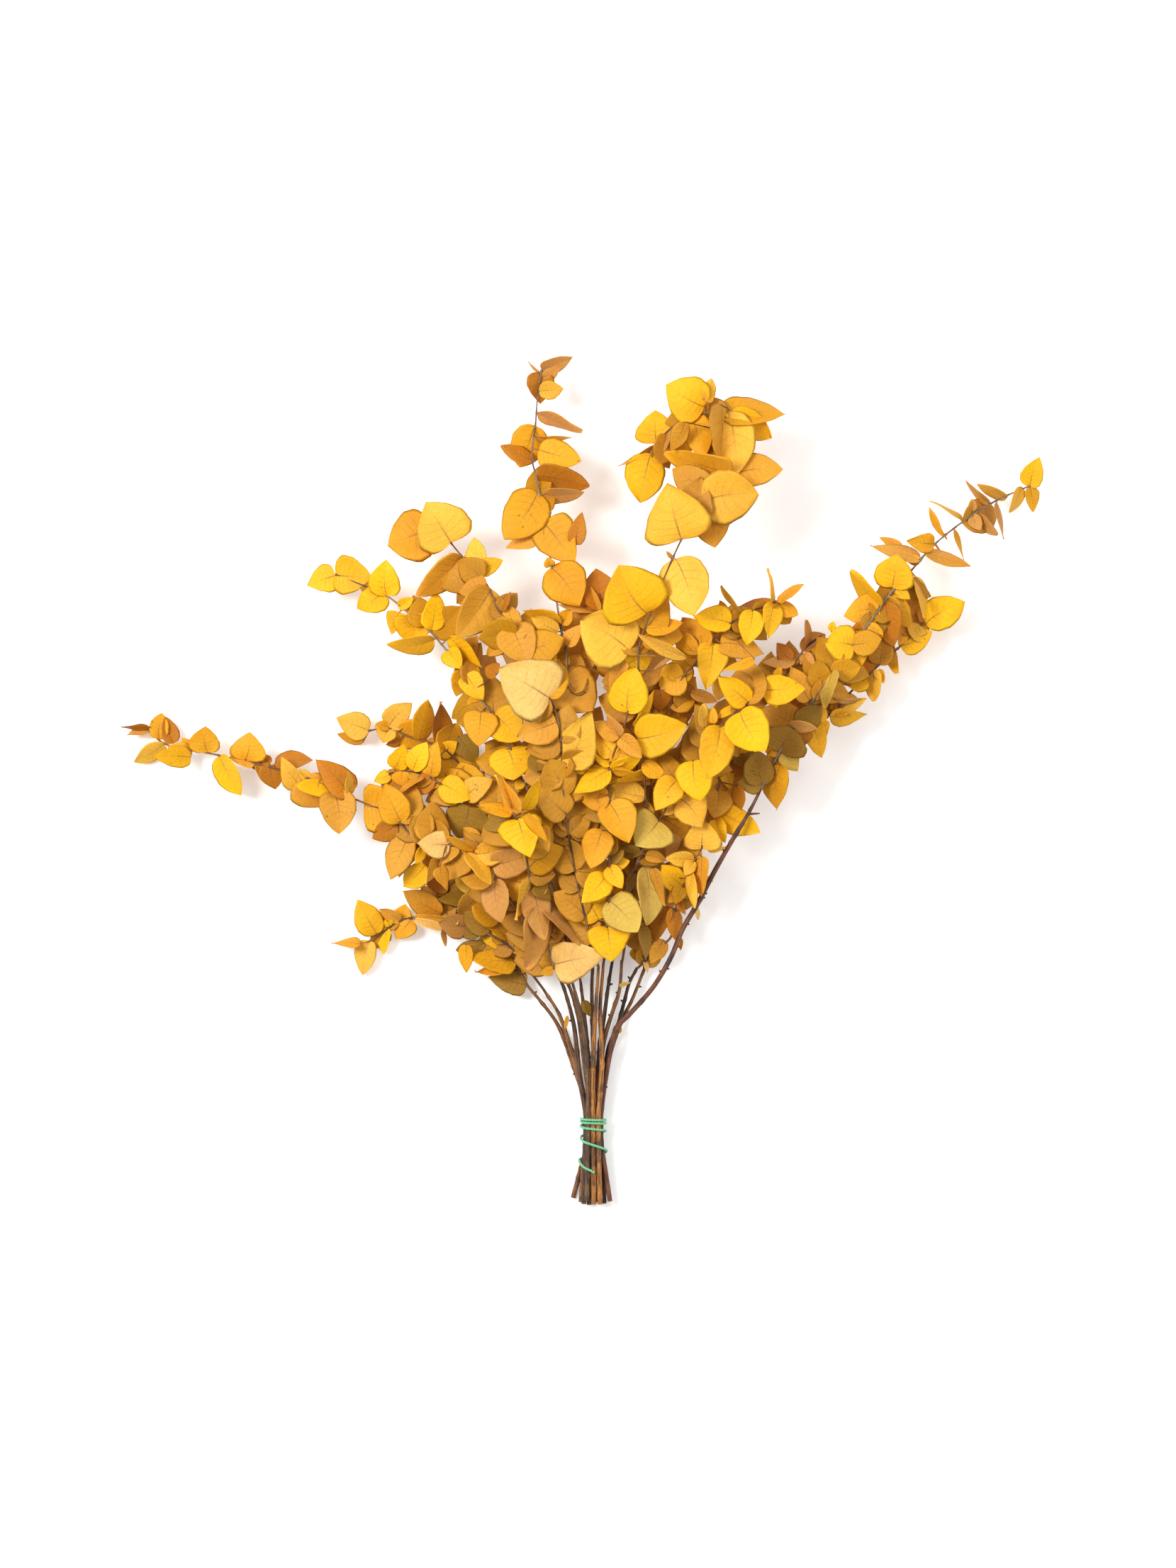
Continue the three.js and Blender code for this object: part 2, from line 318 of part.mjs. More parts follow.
      [-160, 154, -163, 134, 10, -2], [-168, 150, -183, 176.5, 20, 3], [-173.5, 144, -179.5, 117, 16, -2],
      [-181, 142, -203, 142.5, 7, 3]],
  },
  shoot_lower_olive: {
    route: [[-50.7, 108.9, 12.2], [-56, 118, 14], [-62, 130, 17], [-66, 143, 18], [-72, 152, 18]],
    leaves: [[-66, 142, -89, 155, 14, 6], [-60, 129, -97, 133, 20, 4], [-84, 143, -107, 137, 12, -3],
      [-99, 142, -98, 120, 11, -2], [-66, 122, -92, 120, 8, -5], [-52, 110, -82, 116, 20, -3]],
  },
};

// ---------------------------------------------------------------- solids
const signedVolume = (position, index) => {
  const corner = (k) => new THREE.Vector3().fromArray(position, 3 * index[k]);
  let sum = 0;
  for (let k = 0; k < index.length; k += 3) {
    sum += corner(k).dot(corner(k + 1).cross(corner(k + 2)));
  }
  return sum / 6;
};

// A closed three.js geometry as a manifold solid whose faces point out.
const solid = (geometry) => {
  geometry.deleteAttribute('normal');
  geometry.deleteAttribute('uv');
  const merged = mergeVertices(geometry, 1e-4);
  const position = merged.attributes.position.array;
  const index = Uint32Array.from(merged.index.array);
  if (signedVolume(position, index) < 0) {
    for (let k = 0; k < index.length; k += 3) {
      [index[k], index[k + 1]] = [index[k + 1], index[k]];
    }
  }
  return new wasm.Manifold(new wasm.Mesh({ numProp: 3, vertProperties: position, triVerts: index }));
};

// Leaves that cross one another can close off a small pocket of air; it is filled.
const filled = (manifold) => manifold.decompose()
  .reduce((outer, shell) => (shell.volume() > outer.volume() ? shell : outer));

const geometryOf = (manifold) => {
  const mesh = manifold.getMesh();
  const geometry = new THREE.BufferGeometry();
  geometry.setAttribute('position', new THREE.BufferAttribute(mesh.vertProperties, 3));
  geometry.setIndex(new THREE.BufferAttribute(mesh.triVerts, 1));
  return geometry;
};

const roundSection = (diameter, sides) => {
  const corners = [];
  for (let k = 0; k < sides; k += 1) {
    const turn = 2 * Math.PI * k / sides;
    corners.push(new THREE.Vector2(Math.cos(turn), Math.sin(turn)).multiplyScalar(diameter / 2));
  }
  return new THREE.Shape(corners);
};

const stepsAlong = (curve, step) => Math.max(2, Math.ceil(curve.getLength() / step));

const tube = (curve, diameter, sides, steps) => solid(new THREE.ExtrudeGeometry(
  roundSection(diameter, sides),
  { steps, bevelEnabled: false, extrudePath: curve },
));

const centreline = (points) => new THREE.CatmullRomCurve3(points, false, 'centripetal');

// ---------------------------------------------------------------- stem routes through the tie
const TIE_REACH = 10;         // the stems run parallel this far each side of the tie
const FOOT_DROP = ROW_HEIGHT[0] - STEM_DIAMETER / 2 - FLOOR_MARGIN;

const stemCurve = ({ row, column, end, route }) => {
  const slotX = column * STEM_PITCH;
  const slotZ = ROW_HEIGHT[row];
  const cut = place([end[0], end[1], 0]);
  cut.z = slotZ - FOOT_DROP;
  const bare = route.map(place);
  return centreline([
    cut,
    new THREE.Vector3(slotX, -TIE_REACH, slotZ),
    new THREE.Vector3(slotX, 0, slotZ),
    new THREE.Vector3(slotX, TIE_REACH, slotZ),
    ...bare,
  ]);
};

const stemCurves = STEMS.map(stemCurve);
const stemSamples = stemCurves.map((curve) => curve.getSpacedPoints(stepsAlong(curve, STEM_STEP)));

// ---------------------------------------------------------------- leaf plates
// A leaf is a thin flat plate. Its outline is fixed as seen from above; its height there is
// base + pitch * (distance along the leaf) + roll * (distance across it).
const WIDE_OUTLINE = [[0.22, -0.44], [0.62, -0.46], [1, 0], [0.62, 0.46], [0.22, 0.44]];
const SLIM_OUTLINE = [[0.42, -0.5], [1, 0], [0.42, 0.5]];
const SLIM_WIDTH = 19;        // leaves that look narrower than this have the slim outline
const NATURAL_WIDTH = 0.62;   // least real width, as a share of the length
const STEEPEST_ROLL = 2;

// The convex outline, anticlockwise, around a set of plan points.
const hull = (points) => {
  const sorted = [...points].sort((a, b) => a.x - b.x || a.y - b.y);
  const halfHull = (run) => {
    const chain = [];
    for (const point of run) {
      while (chain.length > 1 && turnsRight(chain.at(-2), chain.at(-1), point)) {
        chain.pop();
      }
      chain.push(point);
    }
    return chain.slice(0, -1);
  };
  return [...halfHull(sorted), ...halfHull(sorted.reverse())];
};

const turnsRight = (a, b, c) => (b.x - a.x) * (c.y - a.y) - (b.y - a.y) * (c.x - a.x) < 0.05;

// The foot is the point of the twig where the leaf grows; its stalk and blade are one plate.
const LEAF_ROOT_DEPTH = 0.12 * TWIG_DIAMETER;
const leafFrame = ([bx, by, tx, ty, width], foot, share) => {
  const base = place([bx, by, 0]);
  const tip = place([tx, ty, 0]);
  const along = new THREE.Vector2(tip.x - base.x, tip.y - base.y);
  const length = along.length();
  along.normalize();
  const outline = (width < SLIM_WIDTH ? SLIM_OUTLINE : WIDE_OUTLINE).map(([t, s]) => {
    const forward = t * length * share;
    const aside = s * width * LEAF_SIZE * share;
    return new THREE.Vector2(
      base.x + along.x * forward - along.y * aside,
      base.y + along.y * forward + along.x * aside,
    );
  });
  const root = new THREE.Vector2(foot.x, foot.y).addScaledVector(along, -LEAF_ROOT_DEPTH);
  return { foot, along, length: length * share, corners: hull([root, ...outline]) };
};

const leafPlate = ({ foot, along, length, corners }, rise, roll) => {
  const pitch = rise / length;
  const gradient = [along.x * pitch - along.y * roll, along.y * pitch + along.x * roll];
  return flatPiece(corners, foot.x, foot.y, foot.z, gradient, LEAF_THICKNESS);
};

// A convex plan outline with a sloping flat top and bottom.
const flatPiece = (corners, x, y, z, [slopeX, slopeY], thickness) => {
  const steepness = Math.hypot(1, slopeX, slopeY);
  const height = (corner) => z + slopeX * (corner.x - x) + slopeY * (corner.y - y);
  const xs = corners.map((corner) => corner.x);
  const ys = corners.map((corner) => corner.y);
  const heights = corners.map(height);
  return {
    corners,
    height,
    steepness,
    half: thickness / 2 * steepness,
    box: [Math.min(...xs), Math.min(...ys), Math.max(...xs), Math.max(...ys)],
    lowest: Math.min(...heights),
    highest: Math.max(...heights),
  };
};

// A strip from one point to another, seen from above, such as a length of twig.
const strip = (from, to, width, thickness) => {
  const run = new THREE.Vector2(to.x - from.x, to.y - from.y);
  const length = Math.max(run.length(), 0.5);
  run.normalize();
  const reach = width / 2;
  const corners = [[-reach, -reach], [length + reach, -reach], [length + reach, reach],
    [-reach, reach]].map(([t, s]) => new THREE.Vector2(
    from.x + run.x * t - run.y * s,
    from.y + run.y * t + run.x * s,
  ));
  const pitch = (to.z - from.z) / length;
  return flatPiece(corners, from.x, from.y, from.z, [run.x * pitch, run.y * pitch], thickness);
};

const plateSolid = (piece) => {
  const geometry = new THREE.ExtrudeGeometry(
    new THREE.Shape(piece.corners),
    { depth: 1, steps: 1, bevelEnabled: false },
  );
  const position = geometry.attributes.position;
  for (let k = 0; k < position.count; k += 1) {
    const corner = { x: position.getX(k), y: position.getY(k) };
    const side = position.getZ(k) > 0.5 ? 1 : -1;
    position.setZ(k, piece.height(corner) + side * piece.half);
  }
  return solid(geometry);
};

// ---------------------------------------------------------------- room between pieces
const apart = (a, b) => a.box[0] > b.box[2] + CLEARANCE || b.box[0] > a.box[2] + CLEARANCE
  || a.box[1] > b.box[3] + CLEARANCE || b.box[1] > a.box[3] + CLEARANCE;

// The part of one convex outline that lies within CLEARANCE of another.
const sharedOutline = (subject, clip) => {
  let outline = subject;
  for (let k = 0; k < clip.length && outline.length > 2; k += 1) {
    const from = clip[k];
    const to = clip[(k + 1) % clip.length];
    const length = Math.hypot(to.x - from.x, to.y - from.y);
    const depth = (p) => ((to.x - from.x) * (p.y - from.y) - (to.y - from.y) * (p.x - from.x))
      / length + CLEARANCE;
    const kept = [];
    for (let j = 0; j < outline.length; j += 1) {
      const here = outline[j];
      const next = outline[(j + 1) % outline.length];
      const depthHere = depth(here);
      const depthNext = depth(next);
      if (depthHere > 0) {
        kept.push(here);
      }
      if ((depthHere > 0) !== (depthNext > 0)) {
        const part = depthHere / (depthHere - depthNext);
        kept.push({ x: here.x + part * (next.x - here.x), y: here.y + part * (next.y - here.y) });
      }
    }
    outline = kept;
  }
  return outline;
};

// 1 where piece a is clear above b, -1 clear below, 0 where they do not meet in plan,
// and NaN where they would touch.
const order = (a, b) => {
  if (apart(a, b)) {
    return 0;
  }
  const gap = a.half + b.half + CLEARANCE * Math.max(a.steepness, b.steepness);
  const shared = sharedOutline(a.corners, b.corners);
  if (shared.length < 3) {
    return 0;
  }
  const differences = shared.map((corner) => a.height(corner) - b.height(corner));
  if (Math.min(...differences) > gap) {
    return 1;
  }
  return Math.max(...differences) < -gap ? -1 : NaN;
};

// ---------------------------------------------------------------- settling the leaves
const RISE_TRIES = [0, 3, -3, 6, -6, 9, -9, 12, -12, 16, -16, 20, -20, 25, -25, 30, -30];
const ROLL_TRIES = [0, 0.2, -0.2, 0.4, -0.4, 0.7, -0.7, 1, -1];
const SHARE_TRIES = [1, 0.85, 0.7, 0.55, 0.4, 0.28];
const CROWN_HEIGHT = 1.2 * FOLIAGE_HEIGHT;
const ROLL_COST = 7;          // mm of rise that one unit of roll is worth
const ORDER_COST = 9;         // a leaf of a back shoot in front of one of a front shoot
const CROSSING_COST = 30;     // a leaf through another leaf of the same shoot

let seed = 20;
const random = () => {
  seed = (seed * 1103515245 + 12345) % 2147483648;
  return seed / 2147483648;
};

const nearestOn = (samples, x, y) => {
  let best = { distance: Infinity };
  for (let k = 0; k + 1 < samples.length; k += 1) {
    const from = samples[k];
    const to = samples[k + 1];
    const run = [to.x - from.x, to.y - from.y];
    const share = ((x - from.x) * run[0] + (y - from.y) * run[1]) / (run[0] ** 2 + run[1] ** 2);
    const point = from.clone().lerp(to, Math.min(1, Math.max(0, share)));
    const distance = Math.hypot(point.x - x, point.y - y);
    if (distance < best.distance) {
      best = { distance, point };
    }
  }
  return best;
};

const stripsAlong = (samples, diameter, owner) => samples.slice(1).map((to, k) => ({
  ...strip(samples[k], to, diameter, diameter),
  owner,
  twig: true,
}));

const pieces = [];            // everything that already has its place

const settleLeaf = (shoot, row, wantedRise, wantedRoll) => {
  const foot = nearestOn(shoot.samples, place(row).x, place(row).y).point;
  for (const share of SHARE_TRIES) {
    const frame = leafFrame(row, foot, share);
    let best = null;
    for (const riseChange of RISE_TRIES) {
      for (const rollChange of ROLL_TRIES) {
        const plate = leafPlate(frame, wantedRise * share + riseChange, wantedRoll + rollChange);
        let cost = Math.abs(riseChange) + ROLL_COST * Math.abs(rollChange);
        const misplaced = plate.lowest < plate.half || plate.highest > CROWN_HEIGHT;
        if (misplaced || (best && cost >= best.cost)) {
          continue;
        }
        for (const piece of pieces) {
          cost += costOfMeeting(plate, piece, shoot.name);
          if (best && cost >= best.cost) {
            break;
          }
        }
        if (cost < Infinity && (!best || cost < best.cost)) {
          best = { cost, plate };
        }
      }
    }
    if (best) {
      return best.plate;
    }
  }
  return null;
};

const costOfMeeting = (plate, piece, name) => {
  if (piece.owner === name && piece.twig) {
    return 0;
  }
  const side = order(plate, piece);
  if (piece.owner === name) {
    return Number.isNaN(side) ? CROSSING_COST : 0;
  }
  if (Number.isNaN(side)) {
    return Infinity;
  }
  return side > 0 && !piece.twig ? ORDER_COST : 0;
};

const addLeaf = (shoot, row, rise, roll) => {
  const plate = settleLeaf(shoot, row, rise, roll);
  if (plate) {
    pieces.push({ ...plate, owner: shoot.name, twig: false });
    shoot.plates.push(plate);
  }
};

// A leaf that looks narrow for its length is turned on its side.
const ownRoll = ([bx, by, tx, ty, width]) => {
  const natural = Math.max(width, NATURAL_WIDTH * Math.hypot(tx - bx, ty - by));
  const roll = Math.min(STEEPEST_ROLL, Math.sqrt((natural / width) ** 2 - 1));
  const sign = random() < 0.5 ? -1 : 1;
  return sign * (roll + 0.15 * random());
};

// ---------------------------------------------------------------- leaves behind the others
// At even stations along each twig, a leaf grows to either side where one is needed to close
// a gap between the leaves. All of this is measured in the layout, seen from above.
const STATION_STEP = 7;
const BACK_TURNS = [1.2, 0.7, 1.7, 0.3];
const BACK_LENGTHS = [31, 23];
const BACK_WIDTH = 0.72;
const BACK_DROP = 0.4;
const GAP_STATIONS = [0.4, 0.65, 0.9];
const GAP_REACHES = [8, 14, 20, 26, 32];

const insideLeaf = (x, y, [bx, by, tx, ty, width]) => {
  const length = Math.hypot(tx - bx, ty - by);
  const along = ((x - bx) * (tx - bx) + (y - by) * (ty - by)) / length;
  const aside = ((y - by) * (tx - bx) - (x - bx) * (ty - by)) / length;
  return (2 * along / length - 1) ** 2 + (2 * aside / width) ** 2 < 1;
};

const shown = Object.values(SHOOTS).flatMap((shoot) => shoot.leaves);
const covered = (x, y) => shown.some((row) => insideLeaf(x, y, row));
const hemmedIn = (x, y) => [0, 1, 2, 3, 4, 5, 6, 7].every((k) => GAP_REACHES.some((reach) => (
  covered(x + reach * Math.cos(k * Math.PI / 4), y + reach * Math.sin(k * Math.PI / 4))
)));

const closesGap = ([bx, by, tx, ty]) => {
  const stations = GAP_STATIONS.map((t) => [bx + t * (tx - bx), by + t * (ty - by)]);
  const open = stations.filter(([x, y]) => !covered(x, y));
  return open.length > 1 && [...open, [tx, ty]].every(([x, y]) => covered(x, y) || hemmedIn(x, y));
};

const stationsAlong = (route) => route.slice(1).flatMap(([x, y], k) => {
  const [startX, startY] = route[k];
  const count = Math.round(Math.hypot(x - startX, y - startY) / STATION_STEP);
  const heading = Math.atan2(y - startY, x - startX);
  return Array.from({ length: count }, (_, j) => ({
    x: startX + (x - startX) * j / count,
    y: startY + (y - startY) * j / count,
    heading,
  }));
});

const backLeaf = ({ x, y, heading }, side) => BACK_LENGTHS
  .flatMap((length) => BACK_TURNS.map((turn) => [
    x,
    y,
    x + length * Math.cos(heading + side * turn),
    y + length * Math.sin(heading + side * turn),
    length * BACK_WIDTH,
  ]))
  .find(closesGap);

stemSamples.forEach((samples, k) => {
  pieces.push(...stripsAlong(samples, STEM_DIAMETER, `stem_${k}`));
});

const shoots = Object.entries(SHOOTS).map(([name, { route, leaves }]) => {
  const curve = centreline(route.map(place));
  const steps = stepsAlong(curve, TWIG_STEP);
  const samples = curve.getSpacedPoints(steps);
  pieces.push(...stripsAlong(samples, TWIG_DIAMETER, name));
  return { name, route, curve, steps, samples, leaves, plates: [] };
});

for (const shoot of shoots) {
  for (const row of shoot.leaves) {
    addLeaf(shoot, row, row[5], ownRoll(row));
  }
}

for (const shoot of shoots) {
  for (const station of stationsAlong(shoot.route)) {
    for (const side of [-1, 1]) {
      const row = backLeaf(station, side);
      if (row) {
        const twigHeight = nearestOn(shoot.samples, place(row).x, place(row).y).point.z;
        const drop = Math.min(BACK_DROP * Math.hypot(row[2] - row[0], row[3] - row[1]),
          twigHeight - LEAF_THICKNESS);
        addLeaf(shoot, row, -drop, 0);
        shown.push(row);
      }
    }
  }
}

// ---------------------------------------------------------------- tie
// One cord: turns side by side, then a slanting turn, then a loose end across the front.
// At each half turn, alternately at the left and the right of the bundle, the cord is at:
const TIE_HALF_TURNS = [6.4, 5.2, 4, 2.7, 0.6, -3, -8.3, -18.8, -27.7];
const TIE_END = { halfTurns: 0.55, y: -35.2 };
const TIE_STEPS = 72;
// The directions to either side in which the cord keeps clear of the stems.
const TIE_SWEEP = Array.from({ length: 21 }, (_, k) => (k - 10) * Math.PI / 24);

class TieCurve extends THREE.Curve {
  getPoint(t) {
    const whole = TIE_HALF_TURNS.length - 1;
    const turned = t * (whole + TIE_END.halfTurns);
    const k = Math.min(Math.floor(turned), whole);
    const part = turned - k;
    const last = TIE_END.y - TIE_HALF_TURNS[whole];
    const y = k < whole
      ? TIE_HALF_TURNS[k] + part * (TIE_HALF_TURNS[k + 1] - TIE_HALF_TURNS[k])
      : TIE_HALF_TURNS[whole] + last * part / TIE_END.halfTurns;
    const angle = Math.PI * (1 - turned);
    return this.aroundBundle(y, angle);
  }

  // The point just outside the stems at this y, in the given direction from their middle.
  aroundBundle(y, angle) {
    const middle = (ROW_HEIGHT[0] + ROW_HEIGHT[3]) / 2;
    const points = stemPointsAt(y);
    const reach = (turn) => Math.max(...points.map((point) => point.x * Math.cos(turn)
      + (point.z - middle) * Math.sin(turn)));
    const covering = STEM_DIAMETER / 2 + TIE_SLACK + TIE_DIAMETER / 2;
    const outward = Math.min(...TIE_SWEEP.map((turn) => (reach(angle + turn) + covering)
      / Math.cos(turn)));
    return new THREE.Vector3(
      outward * Math.cos(angle),
      y,
      middle + outward * Math.sin(angle),
    );
  }
}

// Where each stem is at this y, on the straight lengths that it is made of.
const stemPointsAt = (y) => stemSamples.map((samples) => {
  const next = Math.max(1, samples.findIndex((sample) => sample.y > y));
  const from = samples[next - 1];
  const to = samples[next];
  return from.clone().lerp(to, (y - from.y) / (to.y - from.y));
});

// ---------------------------------------------------------------- materials and meshes
const paint = (color, roughness) => new THREE.MeshStandardMaterial({
  color,
  roughness,
  metalness: 0,
});
const BARK = paint('#8a6142', 0.85);
const LEAF = paint('#e0a21c', 0.75);
const OLIVE_LEAF = paint('#a98a2e', 0.75);
const CORD = paint('#6fcf98', 0.5);
const OLIVE_SHOOTS = ['shoot_olive', 'shoot_lower_olive', 'shoot_left_back'];

const bunch = new THREE.Group();
const addMesh = (name, manifold, material) => {
  const mesh = new THREE.Mesh(geometryOf(manifold), material);
  mesh.name = name;
  bunch.add(mesh);
};

addMesh('tie_cord', tube(new TieCurve(), TIE_DIAMETER, TIE_SIDES, TIE_STEPS), CORD);

stemCurves.forEach((curve, k) => {
  const name = `stem_${String(k + 1).padStart(2, '0')}`;
  addMesh(name, tube(curve, STEM_DIAMETER, STEM_SIDES, stepsAlong(curve, STEM_STEP)), BARK);
});

for (const shoot of shoots) {
  const parts = shoot.plates.map(plateSolid);
  const twig = tube(shoot.curve, TWIG_DIAMETER, TWIG_SIDES, shoot.steps);
  const joined = parts.reduce((whole, part) => whole.add(part), twig);
  const plain = filled(joined).simplify(LEAST_DETAIL);
  addMesh(shoot.name, filled(plain), OLIVE_SHOOTS.includes(shoot.name) ? OLIVE_LEAF : LEAF);
}

// The origin is under the middle of the bunch, on the surface that it lies on.
bunch.updateMatrixWorld(true);
const extent = new THREE.Box3().setFromObject(bunch);
bunch.position.set(
  -(extent.min.x + extent.max.x) / 2,
  -(extent.min.y + extent.max.y) / 2,
  -extent.min.z,
);

export default bunch;
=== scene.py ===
"""A bunch of dried, yellow-dyed eucalyptus branches, tied with green cord, lying on a white table.

The leaves, twigs, stems and cord are fine meshes built over the plain solids of the frame. All
lengths below are millimetres; x and y are measured from the middle of the tie, z from the table.
"""

import math
import random

import bpy
import numpy as np
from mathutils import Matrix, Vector


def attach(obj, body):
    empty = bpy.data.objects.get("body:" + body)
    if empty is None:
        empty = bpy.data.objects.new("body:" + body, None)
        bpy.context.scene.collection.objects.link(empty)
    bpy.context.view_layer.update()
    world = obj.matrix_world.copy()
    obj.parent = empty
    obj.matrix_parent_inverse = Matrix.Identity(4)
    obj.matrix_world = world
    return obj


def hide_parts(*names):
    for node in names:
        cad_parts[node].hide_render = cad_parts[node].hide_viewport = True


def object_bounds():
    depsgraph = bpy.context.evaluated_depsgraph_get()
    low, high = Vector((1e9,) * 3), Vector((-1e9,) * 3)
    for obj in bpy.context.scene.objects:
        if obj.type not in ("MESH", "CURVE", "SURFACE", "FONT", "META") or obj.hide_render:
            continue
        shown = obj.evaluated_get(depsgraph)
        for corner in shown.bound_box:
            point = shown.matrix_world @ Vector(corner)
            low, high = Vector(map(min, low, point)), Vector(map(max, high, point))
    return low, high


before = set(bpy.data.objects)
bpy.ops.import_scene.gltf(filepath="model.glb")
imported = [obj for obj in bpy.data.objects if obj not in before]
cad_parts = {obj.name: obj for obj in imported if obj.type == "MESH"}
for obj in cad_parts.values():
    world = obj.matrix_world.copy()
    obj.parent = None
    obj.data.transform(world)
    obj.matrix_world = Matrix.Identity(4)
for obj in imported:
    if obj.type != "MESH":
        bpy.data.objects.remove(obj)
START_LOW, START_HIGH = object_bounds()

# ---------------- sizes
STEM_DIAMETER = 3.5
STEM_PITCH = 4.0        # from stem to stem in the tie
TWIG_DIAMETER = 2.0
TIE_DIAMETER = 2.0
TIE_SLACK = 0.9         # from the stems to the tie cord
TIE_REACH = 10          # the stems run straight this far from the tie's middle
LEAF_THICKNESS = 0.45
SLIM_WIDTH = 19         # narrower leaves are plainer plates in the frame
NATURAL_WIDTH = 0.62    # least real width, as a share of the length
BIG_LEAF = 18           # longer leaves get a finer mesh
LEAST_HEIGHT = 0.5      # of a leaf over the table
TWIG_LIFT = 1.1         # of a leaf that crosses its own twig
CROSSING = 2.5          # a leaf's point this near to the twig lies over it
LIFT_RUN = 6            # from the foot to where a leaf is fully lifted
MOST_TILT = 0.14        # rise per length that lays a leaf over its twig
ROW_HEIGHT = [TIE_DIAMETER + 2.4 * TIE_SLACK + STEM_DIAMETER / 2 + row * STEM_PITCH
              for row in range(4)]
FOOT_DROP = ROW_HEIGHT[0] - STEM_DIAMETER / 2 - 0.02
MM = 0.001
PLACE_MAP = "leaf_place"  # the map of where a point is on its leaf or rod

# row and column in the tie, cut end, then the way from the tie to the leaves
STEMS = [
    (0, -1, (-15.7, -56), [(-15.6, 48, 7), (-27.7, 79, 9), (-40.6, 97, 11), (-50, 108, 12)]),
    (1, -1.5, (-9.6, -59), [(-14, 50, 12), (-19, 66, 13.5), (-27, 88.5, 16), (-38, 106, 18)]),
    (2, -1.5, (-7.4, -60), [(-11.5, 47, 18), (-15, 79, 23), (-21, 103, 28), (-28, 122, 33)]),
    (2, -0.5, (-2.6, -58), [(-7.4, 56, 17.5), (-11.3, 84, 19.5), (-16.6, 104, 22), (-24, 123, 26)]),
    (3, -1, (-5, -57), [(-5, 56, 23), (-10, 90, 29), (-15.6, 111, 34)]),
    (1, -0.5, (-3.2, -61), [(-4.4, 59, 12.5), (-6.9, 87, 14.5), (-9.6, 111, 18)]),
    (3, 0, (0.4, -60), [(0, 56, 24), (2, 95, 33), (4, 124, 40)]),
    (3, 1, (5.2, -60), [(6.6, 47, 21.5), (6.2, 69, 24.5), (5.2, 92, 27.5), (7.8, 127, 34)]),
    (2, 1.5, (13, -58), [(12, 52, 17), (18, 77, 21), (27, 87, 24), (37, 98, 28), (48, 112, 33),
        (60, 133, 38), (69, 155, 43), (80, 174, 48), (95, 203, 54), (110, 229, 58), (120, 246, 60),
        (128, 262, 61)]),
    (2, 0.5, (2.4, -57), [(6.2, 56, 16), (10, 74, 18), (15, 90, 21), (20, 106, 25), (22, 128, 30)]),
    (1, 1.5, (8.6, -60), [(12, 60, 9.5), (19.5, 80, 11), (24, 97, 13), (28, 112, 16),
        (33, 122, 19)]),
    (0, 1, (6.2, -58), [(14, 60, 5), (24, 86, 6.5), (30, 98, 8), (39, 121, 10)]),
    (1, 0.5, (3.6, -59), [(5, 60, 10.5), (9, 90, 13), (12, 112, 15), (15, 130, 17)]),
    (0, 0, (0.2, -57), [(0, 60, 5.5), (-1, 95, 8), (-1, 113, 10), (0, 130, 12)]),
]

SHOOTS = {}


def shoot(name, tones, route, rows):
    """A twig and its leaves: a tone letter per leaf, the twig's route, and for each leaf the base
    x, y, the tip x, y and the width as seen from above."""
    SHOOTS["shoot_" + name] = (tones, route, rows)


shoot("heart", "bgolobgv", [
    (-48, 190, 64), (-52, 215, 80), (-57, 236, 94), (-60, 245, 99)
], [
    (-57, 240, -48, 210.5, 29), (-50, 244, -33, 222, 9), (-38, 235, -34, 214, 10),
    (-62, 248, -75, 273, 10), (-56, 244, -70, 272, 12), (-52, 247, -42, 270, 11),
    (-62, 243, -88, 250, 11), (-63, 240, -84, 233, 14)
])
shoot("right_bright", "ybbbbllygaog", [
    (52, 240, 50), (66, 262, 61), (84, 288, 82), (90, 303, 96), (95, 309, 102), (110, 322, 105),
    (129, 337, 103)
], [
    (96, 310, 86, 270, 28), (104, 300, 101, 280, 8), (111, 321, 130, 291, 30),
    (117, 328, 94, 347.5, 19), (129, 337, 160, 338, 23), (129, 336, 139, 324, 8), (84, 309, 83, 327, 7),
    (108, 325, 94, 316, 6), (91, 312, 90, 325, 8), (128, 340, 123, 354.5, 13), (130, 338, 118, 344, 7),
    (138, 347, 143, 355, 6)
])
shoot("north_east", "blltlloologyogoglt", [
    (22.4, 129, 30.5), (30, 180, 34), (34, 240, 48), (33, 300, 70), (34, 350, 92), (35, 371, 99),
    (43, 395, 104), (52, 418, 106), (60, 437, 104), (66.5, 451, 101), (82, 480, 95), (95, 520, 88),
    (102, 552, 82)
], [
    (40, 395.5, 19, 431, 48), (27, 367, -10, 390, 44), (62, 436, 76, 392.5, 34), (60, 437, 55, 442, 3),
    (66.5, 451, 56, 493.5, 48), (83, 480, 125, 485, 38), (83, 479, 92.5, 445.5, 30),
    (82, 481, 67, 487, 10), (102, 549, 108, 500, 32), (97, 554, 100, 500, 20), (98, 551, 146, 548, 24),
    (104, 548, 136, 530, 22), (108, 502, 144, 505, 22), (103, 501, 54, 518.5, 22),
    (70, 540, 58, 518, 12), (40, 384, 68, 388, 14), (70, 362, 31, 381, 9), (46, 352, 64, 364, 3)
])
shoot("north_east_side", "ylgybttt", [
    (97, 546, 86), (88, 548, 84), (74, 545, 79), (60, 538, 72), (50, 529, 67), (44, 520, 63)
], [
    (84, 553, 55, 569.5, 34), (87, 556, 90, 574, 10), (75, 548, 84, 514, 22),
    (48, 527, 47.5, 552.5, 27), (44, 519, 35.5, 481, 30), (56, 524, 35, 519, 7),
    (38, 519, 19, 509.5, 2.5), (60, 537, 54, 518.5, 5)
])
